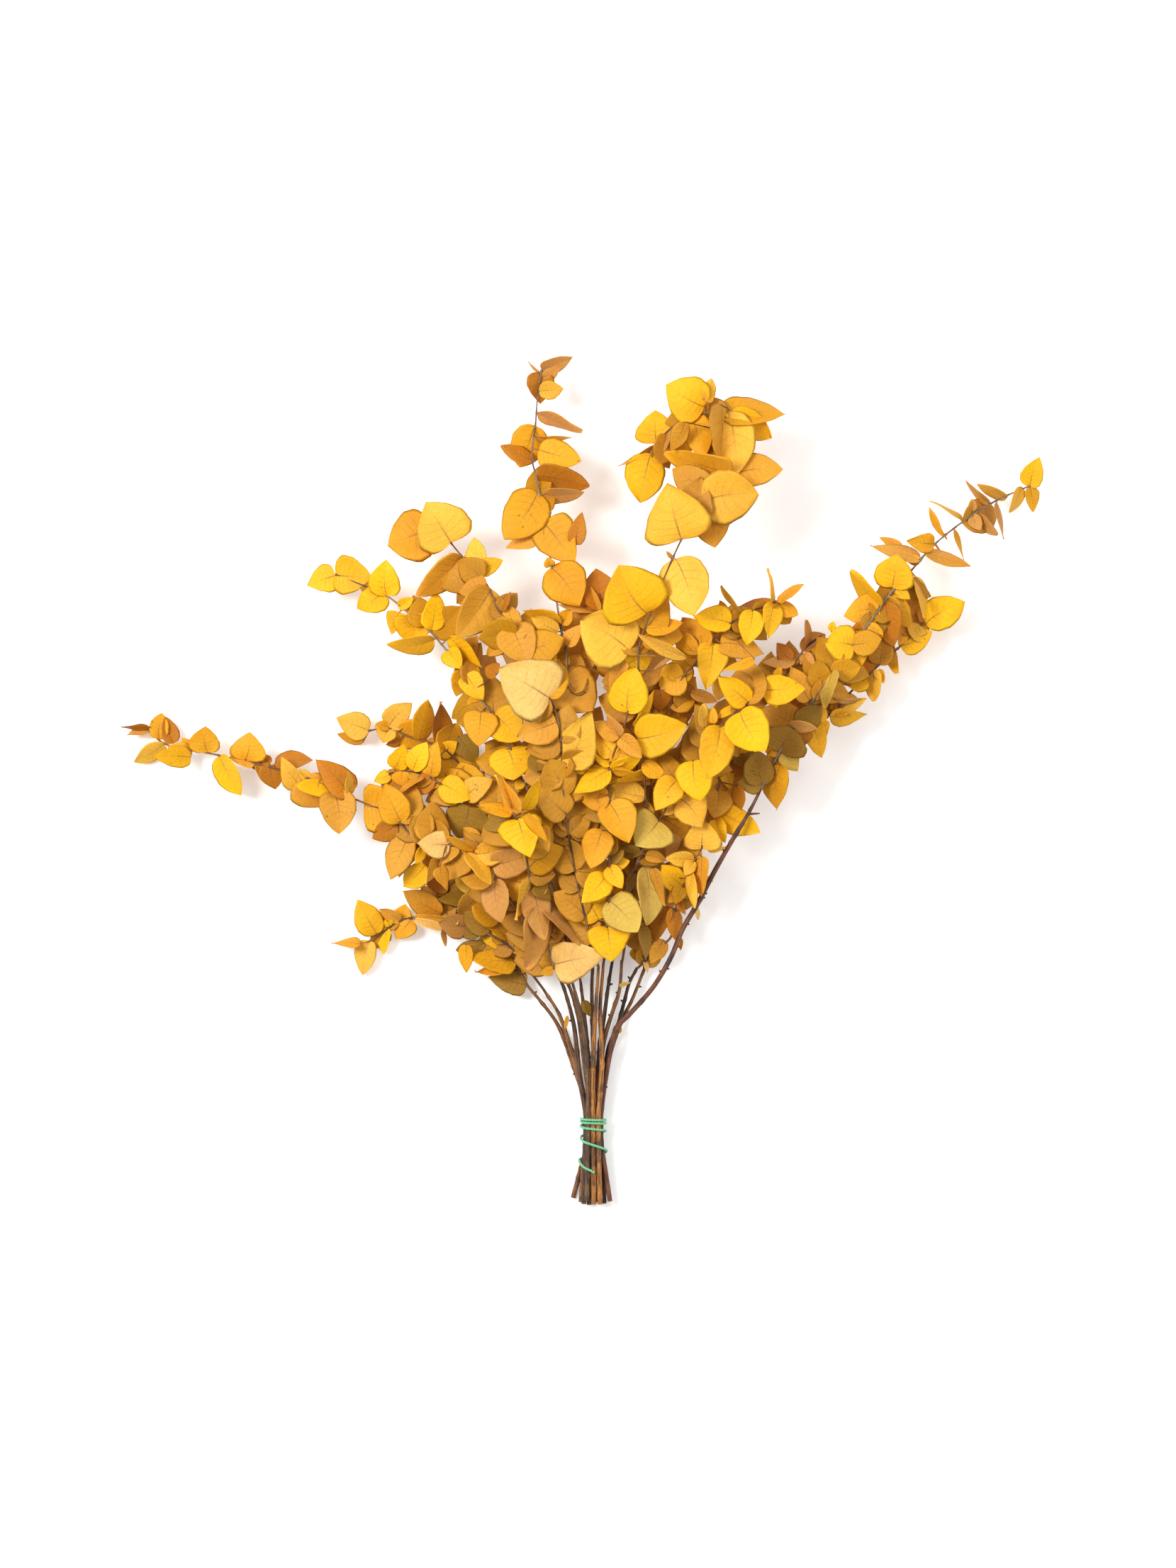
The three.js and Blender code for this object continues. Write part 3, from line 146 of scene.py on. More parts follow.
shoot("upper_left_round", "polooogylgolyoavv", [
    (4.1, 125, 41), (-3, 150, 50), (-14, 200, 64), (-22, 250, 76), (-26, 311, 88), (-30, 325, 91),
    (-33, 331, 92), (-48, 360, 90), (-61, 386, 84), (-72, 398, 79), (-81, 418, 72), (-88, 428, 68),
    (-101, 441, 62), (-110, 452, 58)
], [
    (-33, 331, -72, 354, 46), (-28, 313, -58, 302, 26), (-20, 279, -1, 321, 28),
    (-61.5, 386.5, -49, 357, 28), (-61, 386, -65, 402, 16), (-68, 372, -81, 364, 12),
    (-69, 377, -76, 374, 9), (-33, 356, -32, 377, 9), (-109, 451, -128, 482, 42),
    (-125, 462, -158, 450, 36), (-101, 440, -135, 410, 20), (-88, 429, -91, 455, 16),
    (-87, 429, -69, 437, 13), (-78, 415, -104.5, 377, 27), (-70, 398, -63, 413, 6),
    (-42, 276, -45, 292, 13), (-38, 282, -50, 290, 12)
])
shoot("center", "bkbbyyyggvyybgygytoobboa", [
    (8, 128, 34.6), (9.5, 142, 44), (10, 157, 54), (12, 177, 62), (12, 204, 70), (12, 251, 79),
    (12.5, 277, 84), (15, 288, 87), (20, 302, 89), (26, 320, 92), (26, 340, 93), (25, 356, 94)
], [
    (11, 157, 14, 130, 31), (12, 177, 34, 153, 28), (4, 162, -14, 190, 26), (10, 197, -9, 175.5, 20),
    (11, 181, -4, 174.5, 6), (12.5, 204, 22, 186.5, 14), (13, 204, 28, 207.5, 10),
    (7, 231, -2, 201.5, 22), (12, 252, 27, 221, 27), (14, 206, 23, 216, 8), (12.5, 277, -15.5, 259, 18),
    (-3, 279, -16, 276, 8), (13, 277.5, 37, 288, 11), (15, 276, 31, 275, 6), (15, 288, -1, 308, 17),
    (15, 281, 27, 297, 12), (14, 281, -4, 297, 11), (20, 302, 10, 319, 9), (20, 302, 0, 314, 13),
    (20, 302, 37, 286, 13), (26, 320, 32, 355, 27), (25, 356, 44, 362, 24), (23, 361, 12, 338, 12),
    (9, 258, 2, 244, 9)
])
shoot("center_right", "yyblog", [
    (38, 220, 57), (40, 248, 66), (39, 270, 72), (38, 283, 76), (33, 301, 84), (30, 310, 87)
], [
    (32.5, 301, 71, 311, 32), (30, 311, 46, 337, 6), (47, 275, 9, 265, 8), (39, 256, 9, 262, 15),
    (39, 281, 62, 278, 14), (38, 283, 54, 272, 13)
])
shoot("center_low", "kybvvolltvkoy", [
    (15.3, 131, 17.4), (20, 165, 36), (24, 186, 48), (31, 200, 54), (37, 214, 60), (44, 228, 65),
    (50, 238, 70), (54, 245, 73), (64, 269, 82), (70, 277, 85), (76, 284, 88)
], [
    (50, 238, 32, 219, 32), (64, 269, 47, 246, 22), (76, 284, 81, 253, 28), (36, 214, 22, 217, 7),
    (36, 214, 26, 209, 5), (40, 212, 56, 207, 9), (68, 254, 83, 233, 27), (62, 250, 53, 243, 9),
    (61, 228, 57, 210, 12), (31, 198, 26, 181, 8), (40, 203, 41, 157.5, 20), (46, 202, 55, 173, 8),
    (24, 187, 15, 182, 7)
])
shoot("upper_right", "gybyyggllaaooggaoao", [
    (39.4, 122, 10.3), (42, 170, 24), (44, 230, 44), (46, 290, 60), (58, 325, 72), (69, 349, 84),
    (76, 356, 86), (92, 377, 89), (104, 388, 90), (112, 393, 89), (121, 398, 87), (137, 404, 83),
    (143, 406, 81)
], [
    (69, 349, 50, 341, 25), (91, 373, 85, 337, 24), (104, 388, 75.5, 392.5, 20),
    (121, 398, 116, 371, 19), (137, 404, 133, 377, 15), (140, 402, 156, 395, 12),
    (142, 403, 160, 418, 7), (135, 404, 131.5, 430, 4), (110, 400, 97, 417, 3), (141, 403, 111, 402, 8),
    (100, 389, 96, 406, 9), (106, 389, 106, 403, 12), (96, 373, 130, 365, 20), (121, 360, 97, 352, 8),
    (78, 364, 63, 384, 14), (50, 338, 50, 321, 16), (74, 336, 95, 329, 10), (71, 331, 71, 312, 11),
    (98, 347, 96, 330, 12)
])
shoot("north", "ooglgoggggagagotagatgtlattt", [
    (0, 131, 12.4), (-2, 170, 30), (-6, 220, 48), (-12, 270, 62), (-20, 315, 75), (-20, 349, 84),
    (-21.5, 370, 82), (-25, 386, 79), (-32, 434, 70), (-38, 466, 63), (-43.5, 500, 56), (-47, 516, 52),
    (-44.5, 543, 44), (-42.5, 570, 37), (-40, 586, 33)
], [
    (-20, 349, 0, 322, 38), (-27, 340, -22, 320, 18), (-25, 388, -53.5, 397.5, 14),
    (-27, 382, -47, 393, 13), (-24, 388, -17, 399, 12), (-20, 371, -8, 388, 12),
    (-22, 370, -42, 366, 8), (-31, 378, -38, 384, 10), (-32, 431, -10.5, 401.5, 30),
    (-33, 432, -35, 439, 8), (-31, 432, -12.5, 429, 6), (-38, 466, -14, 433.5, 32),
    (-13, 449, -8.5, 474, 12), (-43, 489.5, -68, 453, 34), (-43, 456, -67, 447, 16),
    (-38, 488, -7, 489.5, 11), (-43, 502.5, -3, 494.5, 18), (-42, 523, -9, 514, 22),
    (-47, 514, -71, 527, 12), (-44, 533, -16.5, 532, 4), (-45, 542, -57, 510, 27),
    (-43, 551.5, -9, 536.5, 7), (-42, 569, -23, 571, 14), (-42, 584, -41, 560, 20),
    (-39, 580, -25.5, 587.5, 9), (-40, 586, -15.5, 596, 11), (-41, 583, -50, 592, 2)
])
shoot("north_back", "aoooo", [
    (-8, 276, 53), (-2, 320, 60), (2, 360, 66), (4, 397, 72), (4, 408, 73)
], [
    (5, 399, 2, 431, 24), (4, 397, -9, 423, 12), (4, 397, -27, 403.5, 9), (3, 366, 12, 347, 14),
    (1, 350, -8, 364, 14)
])
shoot("pale", "plttttl", [
    (-28.4, 123, 33.6), (-30.5, 127, 37), (-36, 145, 48), (-40, 165, 56), (-47, 186, 61)
], [
    (-30, 127, 11, 136, 30), (-31, 124, -65, 111, 26), (-46, 187, -37, 147, 20),
    (-45, 172, -52, 124, 18), (-40, 174, -11, 143, 8), (-34, 153, -22, 143, 7),
    (-48, 192, -60, 162.5, 13)
])
shoot("far_left", "ttllgooplyoyooagvagaloolblaaaoogbgglylagta", [
    (-24.4, 124, 26.5), (-34, 140, 34), (-50, 160, 50), (-66, 180, 62), (-74.5, 193, 68),
    (-77, 204, 70), (-90, 213, 70), (-113, 221, 66), (-139, 227, 58), (-154, 242, 53), (-187, 256, 44),
    (-226, 273, 34), (-261, 282, 26), (-300, 290.5, 18), (-333, 297.5, 12), (-347, 309, 9)
], [
    (-74.5, 194, -70, 160, 21), (-77, 204, -41, 215, 22), (-90, 213, -61, 221, 17),
    (-97, 214, -78, 190, 13), (-91, 216, -111, 226, 7), (-87, 223, -101, 233, 9),
    (-104, 218, -118, 205, 10), (-110, 220, -134.5, 221, 19), (-119, 212, -129, 190, 8),
    (-131, 218, -136, 205, 8), (-117, 203, -111, 185, 10), (-129, 204, -146, 188.5, 18),
    (-141, 226, -156, 193, 20), (-139, 221, -150, 194, 14), (-128, 228, -146, 234, 10),
    (-147, 237, -160, 267, 22), (-148, 236, -148, 252, 14), (-151, 235, -170, 224, 16),
    (-176, 250, -150.5, 250.5, 34), (-188, 258, -214, 285.5, 22), (-188, 258, -188, 276, 6),
    (-200, 261, -195.5, 227.5, 26), (-222, 271, -209, 248.5, 28), (-220, 271, -226, 278, 8),
    (-210, 270, -209, 256, 30), (-225, 265, -241, 287, 15), (-246, 283, -217, 285, 14),
    (-250, 281, -246, 262, 18), (-250, 282, -258, 289, 8), (-261, 281, -247, 263, 10),
    (-262, 281.5, -281, 287, 8), (-269, 285.5, -265.5, 306.5, 25), (-290, 288, -273, 257.5, 19),
    (-299, 291, -300, 311, 22), (-313, 292, -319, 302, 10), (-313, 293, -330, 295, 10),
    (-312, 287, -339, 288, 16), (-333, 297, -357.5, 283, 12.5), (-326, 298, -333, 318, 12),
    (-337, 301, -335.5, 321.5, 15), (-345, 309, -362, 304, 8), (-344, 310, -367, 310, 6)
])
shoot("upper_left_yellow", "bbgygoyggagbbybbybybyyvot", [
    (-16.2, 112, 34.4), (-22, 150, 40), (-29, 180, 46), (-33, 192, 48), (-38, 205, 50), (-42, 225, 52),
    (-42, 245, 54), (-46, 254, 56), (-53, 267, 58), (-60, 283, 61), (-66, 300, 65), (-75, 318, 69),
    (-84, 328, 69), (-97, 347, 67), (-112, 368, 62), (-125, 383, 57), (-140, 396, 52), (-159, 411, 45),
    (-177, 419, 39), (-199, 428, 33)
], [
    (-66, 293, -61, 269, 35), (-76, 319, -57, 299, 28), (-86, 321, -88, 295, 26),
    (-54, 268, -60, 262, 8), (-55, 276, -41, 277, 6), (-43, 268, -31, 278, 9), (-97, 350, -84, 330, 18),
    (-97, 345, -94, 331, 6), (-86, 330, -97, 322, 12), (-73, 350, -82, 356, 13),
    (-102, 353, -105, 333, 13), (-111, 369, -101, 354, 15), (-110, 378, -85, 355, 11),
    (-122, 377, -159, 373, 14), (-124, 384, -120, 415, 18), (-140, 396, -138, 372, 28),
    (-149, 398, -155, 381, 14), (-150, 403, -138, 409, 9), (-161, 415, -182, 401, 20),
    (-159, 411, -159, 438.5, 22), (-199, 428, -170.5, 425.5, 28), (-199, 427, -221, 419.5, 21),
    (-46, 208, -40, 190, 12), (-31, 203, -24, 182, 9), (-43, 214, -33, 198, 8)
])
shoot("right_top", "vvgvkgtagygookaybgggayagalyyooogoltgtgltttttllgb", [
    (128.4, 262.9, 61.2), (142, 290, 64), (160, 316, 66), (166, 327, 66), (178, 345, 65),
    (198, 373, 62), (211, 389, 60), (226, 410, 56), (244, 430, 50), (263, 451, 44), (290, 472, 36),
    (313, 486, 30), (338, 497, 24)
], [
    (129, 266, 125, 292, 23), (128, 265, 110, 267, 14), (143, 281, 141, 246, 19),
    (142.5, 291, 151, 310, 36), (146, 291, 156, 276, 15), (142, 291, 131, 294, 9),
    (149, 312, 171, 308, 8), (159, 309, 160, 295, 15), (167, 316, 176, 286, 16),
    (178, 315, 179, 303, 7), (172, 325, 177, 313, 11), (165, 330, 150, 356, 18),
    (170, 330, 173, 346, 9), (183, 354, 177, 324, 13), (188, 357, 197, 341, 12),
    (199, 372, 177, 374, 26), (182, 383, 184, 391, 6), (199, 383, 205, 356, 20),
    (211, 388, 222, 379, 9), (219, 400, 192, 395, 22), (208, 386, 196, 383, 10),
    (220, 402, 196, 429, 10), (223, 405, 231, 372, 20), (226, 408, 244, 386, 18),
    (225, 410, 216, 413, 6), (225, 409, 235, 403, 4), (229, 417, 233, 442, 30), (232, 416, 243, 408, 9),
    (251, 440, 213, 450, 12), (238, 449, 222, 458, 7), (251, 438, 240, 439, 8),
    (262, 451, 240, 453, 14), (256, 444, 290, 433.5, 13), (248, 426, 255, 394, 9),
    (263, 451, 267, 446, 1.5), (270, 458, 258, 479, 4), (270, 458, 273, 454, 1.5),
    (278, 463, 286, 439, 4), (284, 469, 259, 484, 4), (292, 477, 292, 486, 7), (292, 474, 299, 462, 10),
    (298, 474, 312, 458, 7), (306, 483, 287, 500, 5), (312, 484, 317.5, 455.5, 5),
    (320, 488, 296, 497.5, 7), (331, 496, 322, 476, 9), (338, 496, 341, 477, 11),
    (338, 496, 345, 519, 17)
])
shoot("right_low", "ytlaylgatyyltba", [
    (166, 318, 58), (175, 318, 53), (184, 321, 49), (197, 336, 45), (216, 354, 40), (229, 366, 36),
    (240, 375, 33), (256, 391, 30)
], [
    (182, 318, 211, 320, 12), (184, 332, 210, 332, 3), (190, 320, 210, 332, 7), (184, 322, 186, 337, 6),
    (210, 347.5, 196, 341, 20), (215, 354, 217, 330, 11), (217, 353, 224, 344, 8),
    (213, 352, 210, 363, 10), (223, 361, 212, 364, 6), (222, 384, 236, 352, 9),
    (237, 373, 262, 384, 18), (254, 377, 242, 391, 11), (236, 373, 236, 390, 6),
    (257, 390, 287, 407, 26), (254, 391, 251, 401, 5)
])
shoot("right_mid", "tatagtagataa", [
    (120, 322, 60), (135, 338, 56), (148, 351, 52), (153, 357, 50), (160, 367, 48), (168, 375, 46),
    (176, 381, 44)
], [
    (155, 361, 129, 360, 9), (152, 361, 141, 375, 13), (164, 372, 163, 392, 5),
    (160, 369, 180, 382, 12), (176, 371, 160, 354, 8), (161, 366, 171, 348, 9),
    (177, 371, 181, 351, 17), (152, 330, 147, 310, 8), (128, 318, 144, 313, 10),
    (132, 321, 147, 326, 6), (148, 352, 138, 356, 7), (160, 330, 153, 318, 12)
])
shoot("left_mid", "blvgaobbgy", [
    (-60, 226, 56), (-80, 248, 52), (-97, 257, 49), (-117, 266, 46), (-131, 273.5, 42),
    (-147, 276.5, 37), (-158, 274, 34)
], [
    (-117, 266, -95, 254, 21), (-98, 256, -77, 270, 19), (-96, 249, -104, 224, 32),
    (-125, 272, -120, 299, 14), (-124, 272, -135, 258, 14), (-131, 272, -152, 256, 6),
    (-138.5, 276.5, -128, 298.5, 16), (-153, 278, -145, 297, 16), (-147, 276, -146, 264, 14),
    (-157, 273, -169, 268, 11)
])
shoot("left_upper", "yagvaglglglo", [
    (-42, 209, 42), (-60, 232, 40), (-80, 256, 38), (-97, 274, 36), (-108, 287, 33), (-119, 296, 31),
    (-129, 299, 29), (-143, 303, 26), (-158, 309.5, 23), (-174, 307.5, 20)
], [
    (-118, 288, -105, 299, 13), (-119, 296, -118.5, 330, 16), (-135, 300, -127, 331.5, 16),
    (-104, 303, -90, 283, 17), (-150, 299, -161, 296.5, 6), (-152, 308, -129, 298, 20),
    (-157, 309, -163, 298, 16), (-158, 310, -168, 313, 8), (-158.5, 310.5, -140, 329, 20),
    (-178, 300, -199, 305, 9), (-174, 307.5, -199, 317.5, 20), (-92, 268, -84, 276, 12)
])
shoot("olive", "vtvkvvvv", [
    (-9.8, 112, 18.4), (-15, 150, 32), (-20, 190, 42), (-21, 225, 50), (-22, 274, 57)
], [
    (-22, 274, -18, 218, 18), (-25, 277, -30, 260, 8), (-12, 219, -18, 197, 21),
    (-5, 201, -21, 183, 13), (-14, 150, -33, 172, 18), (-45, 189, -32, 177, 13), (-14, 152, 0, 145, 12),
    (-4, 240, 2, 256, 9)
])
shoot("right_inner", "yyogayolvay", [
    (80, 216, 49), (90, 234, 47), (94, 245, 48), (96, 261, 50), (98, 270, 51), (98, 283, 52),
    (101, 292, 52)
], [
    (94, 240, 101, 221, 12), (98, 245, 128, 229, 20), (96, 261, 92, 240, 20), (98, 222, 92, 218, 6),
    (110, 265, 113, 246, 9), (101, 277, 105, 262, 11), (98, 281, 91, 272, 8), (104, 292, 122, 294, 8),
    (112, 291, 118, 278, 18), (104, 284, 121, 272, 14), (88, 216, 103, 218, 5)
])
shoot("right_amber", "lllbgloopaaagovgp", [
    (33.6, 123, 19.4), (37, 126, 21), (48, 138, 26), (60, 148, 31), (62, 165, 38), (69, 187, 48),
    (77, 207, 55), (83, 217, 60), (84, 232, 63)
], [
    (83, 216.5, 84, 239, 26), (77, 208, 56, 209, 11), (77, 207, 70, 196, 10), (69, 188, 52, 204, 17),
    (68, 188, 63, 174, 11), (76, 198, 77, 171, 7), (83, 211, 82, 180, 11), (86, 195, 93, 190, 4),
    (79, 172, 81, 161, 3), (61, 170, 64, 145, 12), (56, 172, 48, 144, 16), (66, 175, 71, 166, 6),
    (67, 148, 67.5, 137.5, 4), (54, 146, 44, 128, 12), (36, 157, 40, 131, 10), (31, 139, 39, 127, 7),
    (40, 129, 42, 120, 4)
])
shoot("left_back", "lyvvavovo", [
    (-36, 134, 24), (-50, 144, 24), (-60, 150, 25), (-73, 161, 26), (-84, 173, 27), (-94, 184, 28),
    (-103, 197, 29), (-112, 205, 29), (-124, 212, 28)
], [
    (-100, 199, -98, 181.5, 14), (-84, 193, -86, 175, 11), (-93, 178, -120, 177, 14),
    (-66, 170, -58, 151, 12), (-112, 188, -130, 189, 13), (-60, 149, -55, 134, 7),
    (-120, 208, -134, 198, 14), (-106, 168, -116, 162, 11), (-122, 212, -134, 224, 14)
])
shoot("lower_left", "vvgolptoggobyylg", [
    (-38.6, 107, 18.3), (-46, 117, 20), (-53, 127, 22), (-62, 138, 24), (-75, 147, 24), (-90, 154, 22),
    (-104, 160, 18), (-122, 163, 14), (-139, 162.5, 12), (-150, 160, 11), (-165, 150, 9), (-174, 144, 8)
], [
    (-88, 150, -107, 153, 12), (-80, 153, -100, 167, 16), (-66, 146, -88, 168, 9),
    (-118, 166, -147.5, 183.5, 18), (-139, 163, -104, 161, 5), (-139, 161, -113, 153, 10),
    (-117, 152, -114, 140.5, 4), (-106, 160, -113, 149, 6), (-142, 161, -154, 146, 16),
    (-149, 160, -146, 173, 15), (-150, 160, -166, 169.5, 10), (-158, 156, -162, 161, 8),
    (-160, 154, -163, 134, 10), (-168, 150, -183, 176.5, 20), (-173.5, 144, -179.5, 117, 16),
    (-181, 142, -203, 142.5, 7)
])
shoot("lower_olive", "ygvggv", [
    (-50.7, 108.9, 12.2), (-56, 118, 14), (-62, 130, 17), (-66, 143, 18), (-72, 152, 18)
], [
    (-66, 142, -89, 155, 14), (-60, 129, -97, 133, 20), (-84, 143, -107, 137, 12),
    (-99, 142, -98, 120, 11), (-66, 122, -92, 120, 8), (-52, 110, -82, 116, 20)
])

# ---------------- where the layout lies in the frame
listed_rows = [row for _, _, rows in SHOOTS.values() for row in rows]
tip_x = [row[2] for row in listed_rows]
tip_y = [row[3] for row in listed_rows]
SHIFT = np.array([START_LOW.x / MM - min(tip_x), START_HIGH.y / MM - max(tip_y), 0])


class Curve:
    """A smooth centreline through points, evenly spaced along its length when sampled."""

    def __init__(self, points):
        self.fine = self.catmull_rom(np.array(points, float))
        steps = np.linalg.norm(np.diff(self.fine, axis=0), axis=1)
        self.reach = np.concatenate([[0], np.cumsum(steps)])
        self.length = self.reach[-1]

    @staticmethod
    def catmull_rom(points):
        before = 2 * points[0] - points[1]
        after = 2 * points[-1] - points[-2]
        p = np.vstack([before, points, after])
        pieces = []
        for k in range(1, len(p) - 2):
            knots = [np.linalg.norm(p[k + j] - p[k + j - 1]) ** 0.5 for j in range(3)]
            start = ((p[k] - p[k - 1]) / knots[0] - (p[k + 1] - p[k - 1]) / (knots[0] + knots[1])
                     + (p[k + 1] - p[k]) / knots[1]) * knots[1]
            stop = ((p[k + 1] - p[k]) / knots[1] - (p[k + 2] - p[k]) / (knots[1] + knots[2])
                    + (p[k + 2] - p[k + 1]) / knots[2]) * knots[1]
            t = np.linspace(0, 1, 60, endpoint=k == len(p) - 3)[:, None]
            cubic = 2 * p[k] - 2 * p[k + 1] + start + stop
            square = -3 * p[k] + 3 * p[k + 1] - 2 * start - stop
            pieces.append(p[k] + start * t + square * t ** 2 + cubic * t ** 3)
        return np.vstack(pieces)

    def at(self, lengths):
        return np.stack([np.interp(lengths, self.reach, self.fine[:, k]) for k in range(3)], 1)

    def spaced(self, step):
        return self.at(np.linspace(0, self.length, max(3, int(self.length / step) + 2)))

    def nearest(self, x, y):
        """The curve's point nearest to x, y as seen from above, and its place along the curve."""
        gaps = np.hypot(self.fine[:, 0] - x, self.fine[:, 1] - y)
        k = int(np.argmin(gaps))
        return self.fine[k], self.reach[k]


def stem_curve(row, column, end, route):
    slot_x = column * STEM_PITCH
    slot_z = ROW_HEIGHT[row]
    cut = (end[0], end[1], slot_z - FOOT_DROP)
    held = [(slot_x, y, slot_z) for y in (-TIE_REACH, 0, TIE_REACH)]
    return Curve([cut] + held + route)


stem_curves = [stem_curve(*stem) for stem in STEMS]
shoot_curves = {name: Curve(route) for name, (_, route, _) in SHOOTS.items()}


# ---------------- meshes
class Builder:
    """Collects the surfaces of one piece, then makes its mesh object."""

    def __init__(self):
        self.points = []
        self.faces = []
        self.places = []
        self.tones = []
        self.seeds = []
        self.slots = []
        self.count = 0

    def add_points(self, points, places, tone, seed):
        points = np.asarray(points).reshape(-1, 3)
        index = np.arange(len(points)) + self.count
        self.points.append(points)
        self.places.append(np.asarray(places).reshape(-1, 2))
        self.tones.append(np.tile(np.append(tone, 1), (len(points), 1)))
        self.seeds.append(np.full(len(points), seed))
        self.count += len(points)
        return index

    def add_faces(self, faces, slot):
        self.faces.extend(faces.tolist())
        self.slots.extend([slot] * len(faces))

    @staticmethod
    def quads(index):
        corners = [index[:-1, :-1], index[:-1, 1:], index[1:, 1:], index[1:, :-1]]
        return np.stack([corner.ravel() for corner in corners], 1)

    def tube(self, points, radii, sides, tone, seed, slot):
        """A round rod along points, open at both ends."""
        points = np.asarray(points, float)
        along = np.gradient(points, axis=0)
        along /= np.linalg.norm(along, axis=1)[:, None]
        aside = np.cross(along, [0, 0, 1.0])
        aside /= np.linalg.norm(aside, axis=1)[:, None] + 1e-9
        up = np.cross(aside, along)
        turn = np.linspace(0, 2 * math.pi, sides, endpoint=False)
        radii = np.broadcast_to(np.asarray(radii, float).reshape(len(points), -1),
                                (len(points), sides))[:, :, None]
        ring = points[:, None] + radii * (np.cos(turn)[None, :, None] * aside[:, None]
                                          + np.sin(turn)[None, :, None] * up[:, None])
        reach = np.concatenate([[0], np.cumsum(np.linalg.norm(np.diff(points, axis=0), axis=1))])
        places = np.stack(np.broadcast_arrays(reach[:, None], turn[None, :]), 2)
        index = self.add_points(ring, places, tone, seed).reshape(len(points), sides)
        wrapped = np.hstack([index, index[:, :1]])
        self.add_faces(self.quads(wrapped)[:, ::-1], slot)
        return index

    def cap(self, index, tone, slot, outward=(0, 0, 0)):
        """Closes one end of a rod with a face of its own."""
        ring = np.vstack(self.points)[index]
        middle = ring.mean(0) + outward
        new = self.add_points(np.vstack([ring, middle]), np.zeros((len(ring) + 1, 2)), tone, 0.5)
        rim = new[:-1]
        fan = np.stack([rim, np.roll(rim, -1), np.full(len(rim), new[-1])], 1)
        self.add_faces(fan, slot)

    def sheet(self, top, down, places, tone, seed, slot):
        """A thin leaf: a grid of points and its underside, which meets it at the rim."""
        index = self.add_points(top, places, tone, seed).reshape(top.shape[:2])
        under = (top + down)[1:-1, 1:-1]
        inner = self.add_points(under, places[1:-1, 1:-1], tone, seed)
        below = index.copy()
        below[1:-1, 1:-1] = inner.reshape(below[1:-1, 1:-1].shape)
        self.add_faces(self.quads(index)[:, ::-1], slot)
        self.add_faces(self.quads(below), slot)

    def make(self, name, materials):
        mesh = bpy.data.meshes.new(name)
        points = (np.vstack(self.points) + SHIFT) * MM
        points[:, 2] = np.maximum(points[:, 2], 0)
        mesh.from_pydata(points.tolist(), [], self.faces)
        mesh.polygons.foreach_set("use_smooth", [True] * len(mesh.polygons))
        mesh.polygons.foreach_set("material_index", self.slots)
        tone = mesh.color_attributes.new("tone", "FLOAT_COLOR", "POINT")
        tone.data.foreach_set("color", np.vstack(self.tones).ravel())
        seed = mesh.attributes.new("seed", "FLOAT", "POINT")
        seed.data.foreach_set("value", np.concatenate(self.seeds))
        loops = np.zeros(len(mesh.loops), int)
        mesh.loops.foreach_get("vertex_index", loops)
        layer = mesh.uv_layers.new(name=PLACE_MAP)
        layer.data.foreach_set("uv", np.vstack(self.places)[loops].ravel())
        for material in materials:
            mesh.materials.append(material)
        mesh.validate()
        piece = bpy.data.objects.new(name, mesh)
        bpy.context.scene.collection.objects.link(piece)
        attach(piece, "root")
        return piece


# ---------------- colours
def colour(red, green, blue):
    """A display colour, 0 to 255, as linear light."""
    return np.array([((c / 255 + 0.055) / 1.055) ** 2.4 for c in (red, green, blue)])


# leaf tones by letter; tone a, the dark amber, is partly the leaves' own colour and partly painted
# shade of leaves that lie in shadow
TONE_COLOURS = {tone: colour(*shade) for tone, shade in {
    "b": (240, 180, 6), "y": (238, 176, 16), "g": (224, 158, 22), "l": (232, 176, 56),
    "o": (216, 152, 44), "a": (184, 114, 18), "t": (206, 146, 68), "v": (152, 112, 28),
    "k": (206, 170, 72), "p": (234, 190, 108),
}.items()}
TWIG_COLOUR = colour(140, 98, 56)
GREY_TWIG = colour(150, 128, 104)
STEM_COLOURS = [colour(*shade) for shade in [
    (134, 86, 46), (148, 98, 50), (98, 64, 38), (132, 92, 54), (112, 82, 54), (104, 66, 36),
    (170, 112, 50), (178, 118, 54), (118, 70, 46), (130, 84, 46), (80, 52, 36), (140, 94, 50),
    (76, 50, 36), (118, 78, 44),
]]
CUT_WOOD = colour(214, 178, 128)
CORD_COLOUR = colour(112, 205, 150)


# ---------------- materials
class Value:
    """What a node in a material gives, with the usual arithmetic where that is a number."""

    def __init__(self, look, socket):
        self.look = look
        self.socket = socket

    def math(self, operation, *others, swap=False):
        operands = [self, *others]
        if swap:
            operands.reverse()
        return self.look.node("Math", 0, dict(enumerate(operands)), operation=operation)

    def __add__(self, other):
        return self.math("ADD", other)

    def __sub__(self, other):
        return self.math("SUBTRACT", other)

    def __rsub__(self, other):
        return self.math("SUBTRACT", other, swap=True)

    def __mul__(self, other):
        return self.math("MULTIPLY", other)

    def __pow__(self, other):
        return self.math("POWER", other)

    __radd__ = __add__
    __rmul__ = __mul__

    def clamped(self, low, high):
        """0 at low, 1 at high, smooth between."""
        span = {"Value": self, "From Min": low, "From Max": high}
        return self.look.node("MapRange", 0, span, interpolation_type="SMOOTHSTEP")


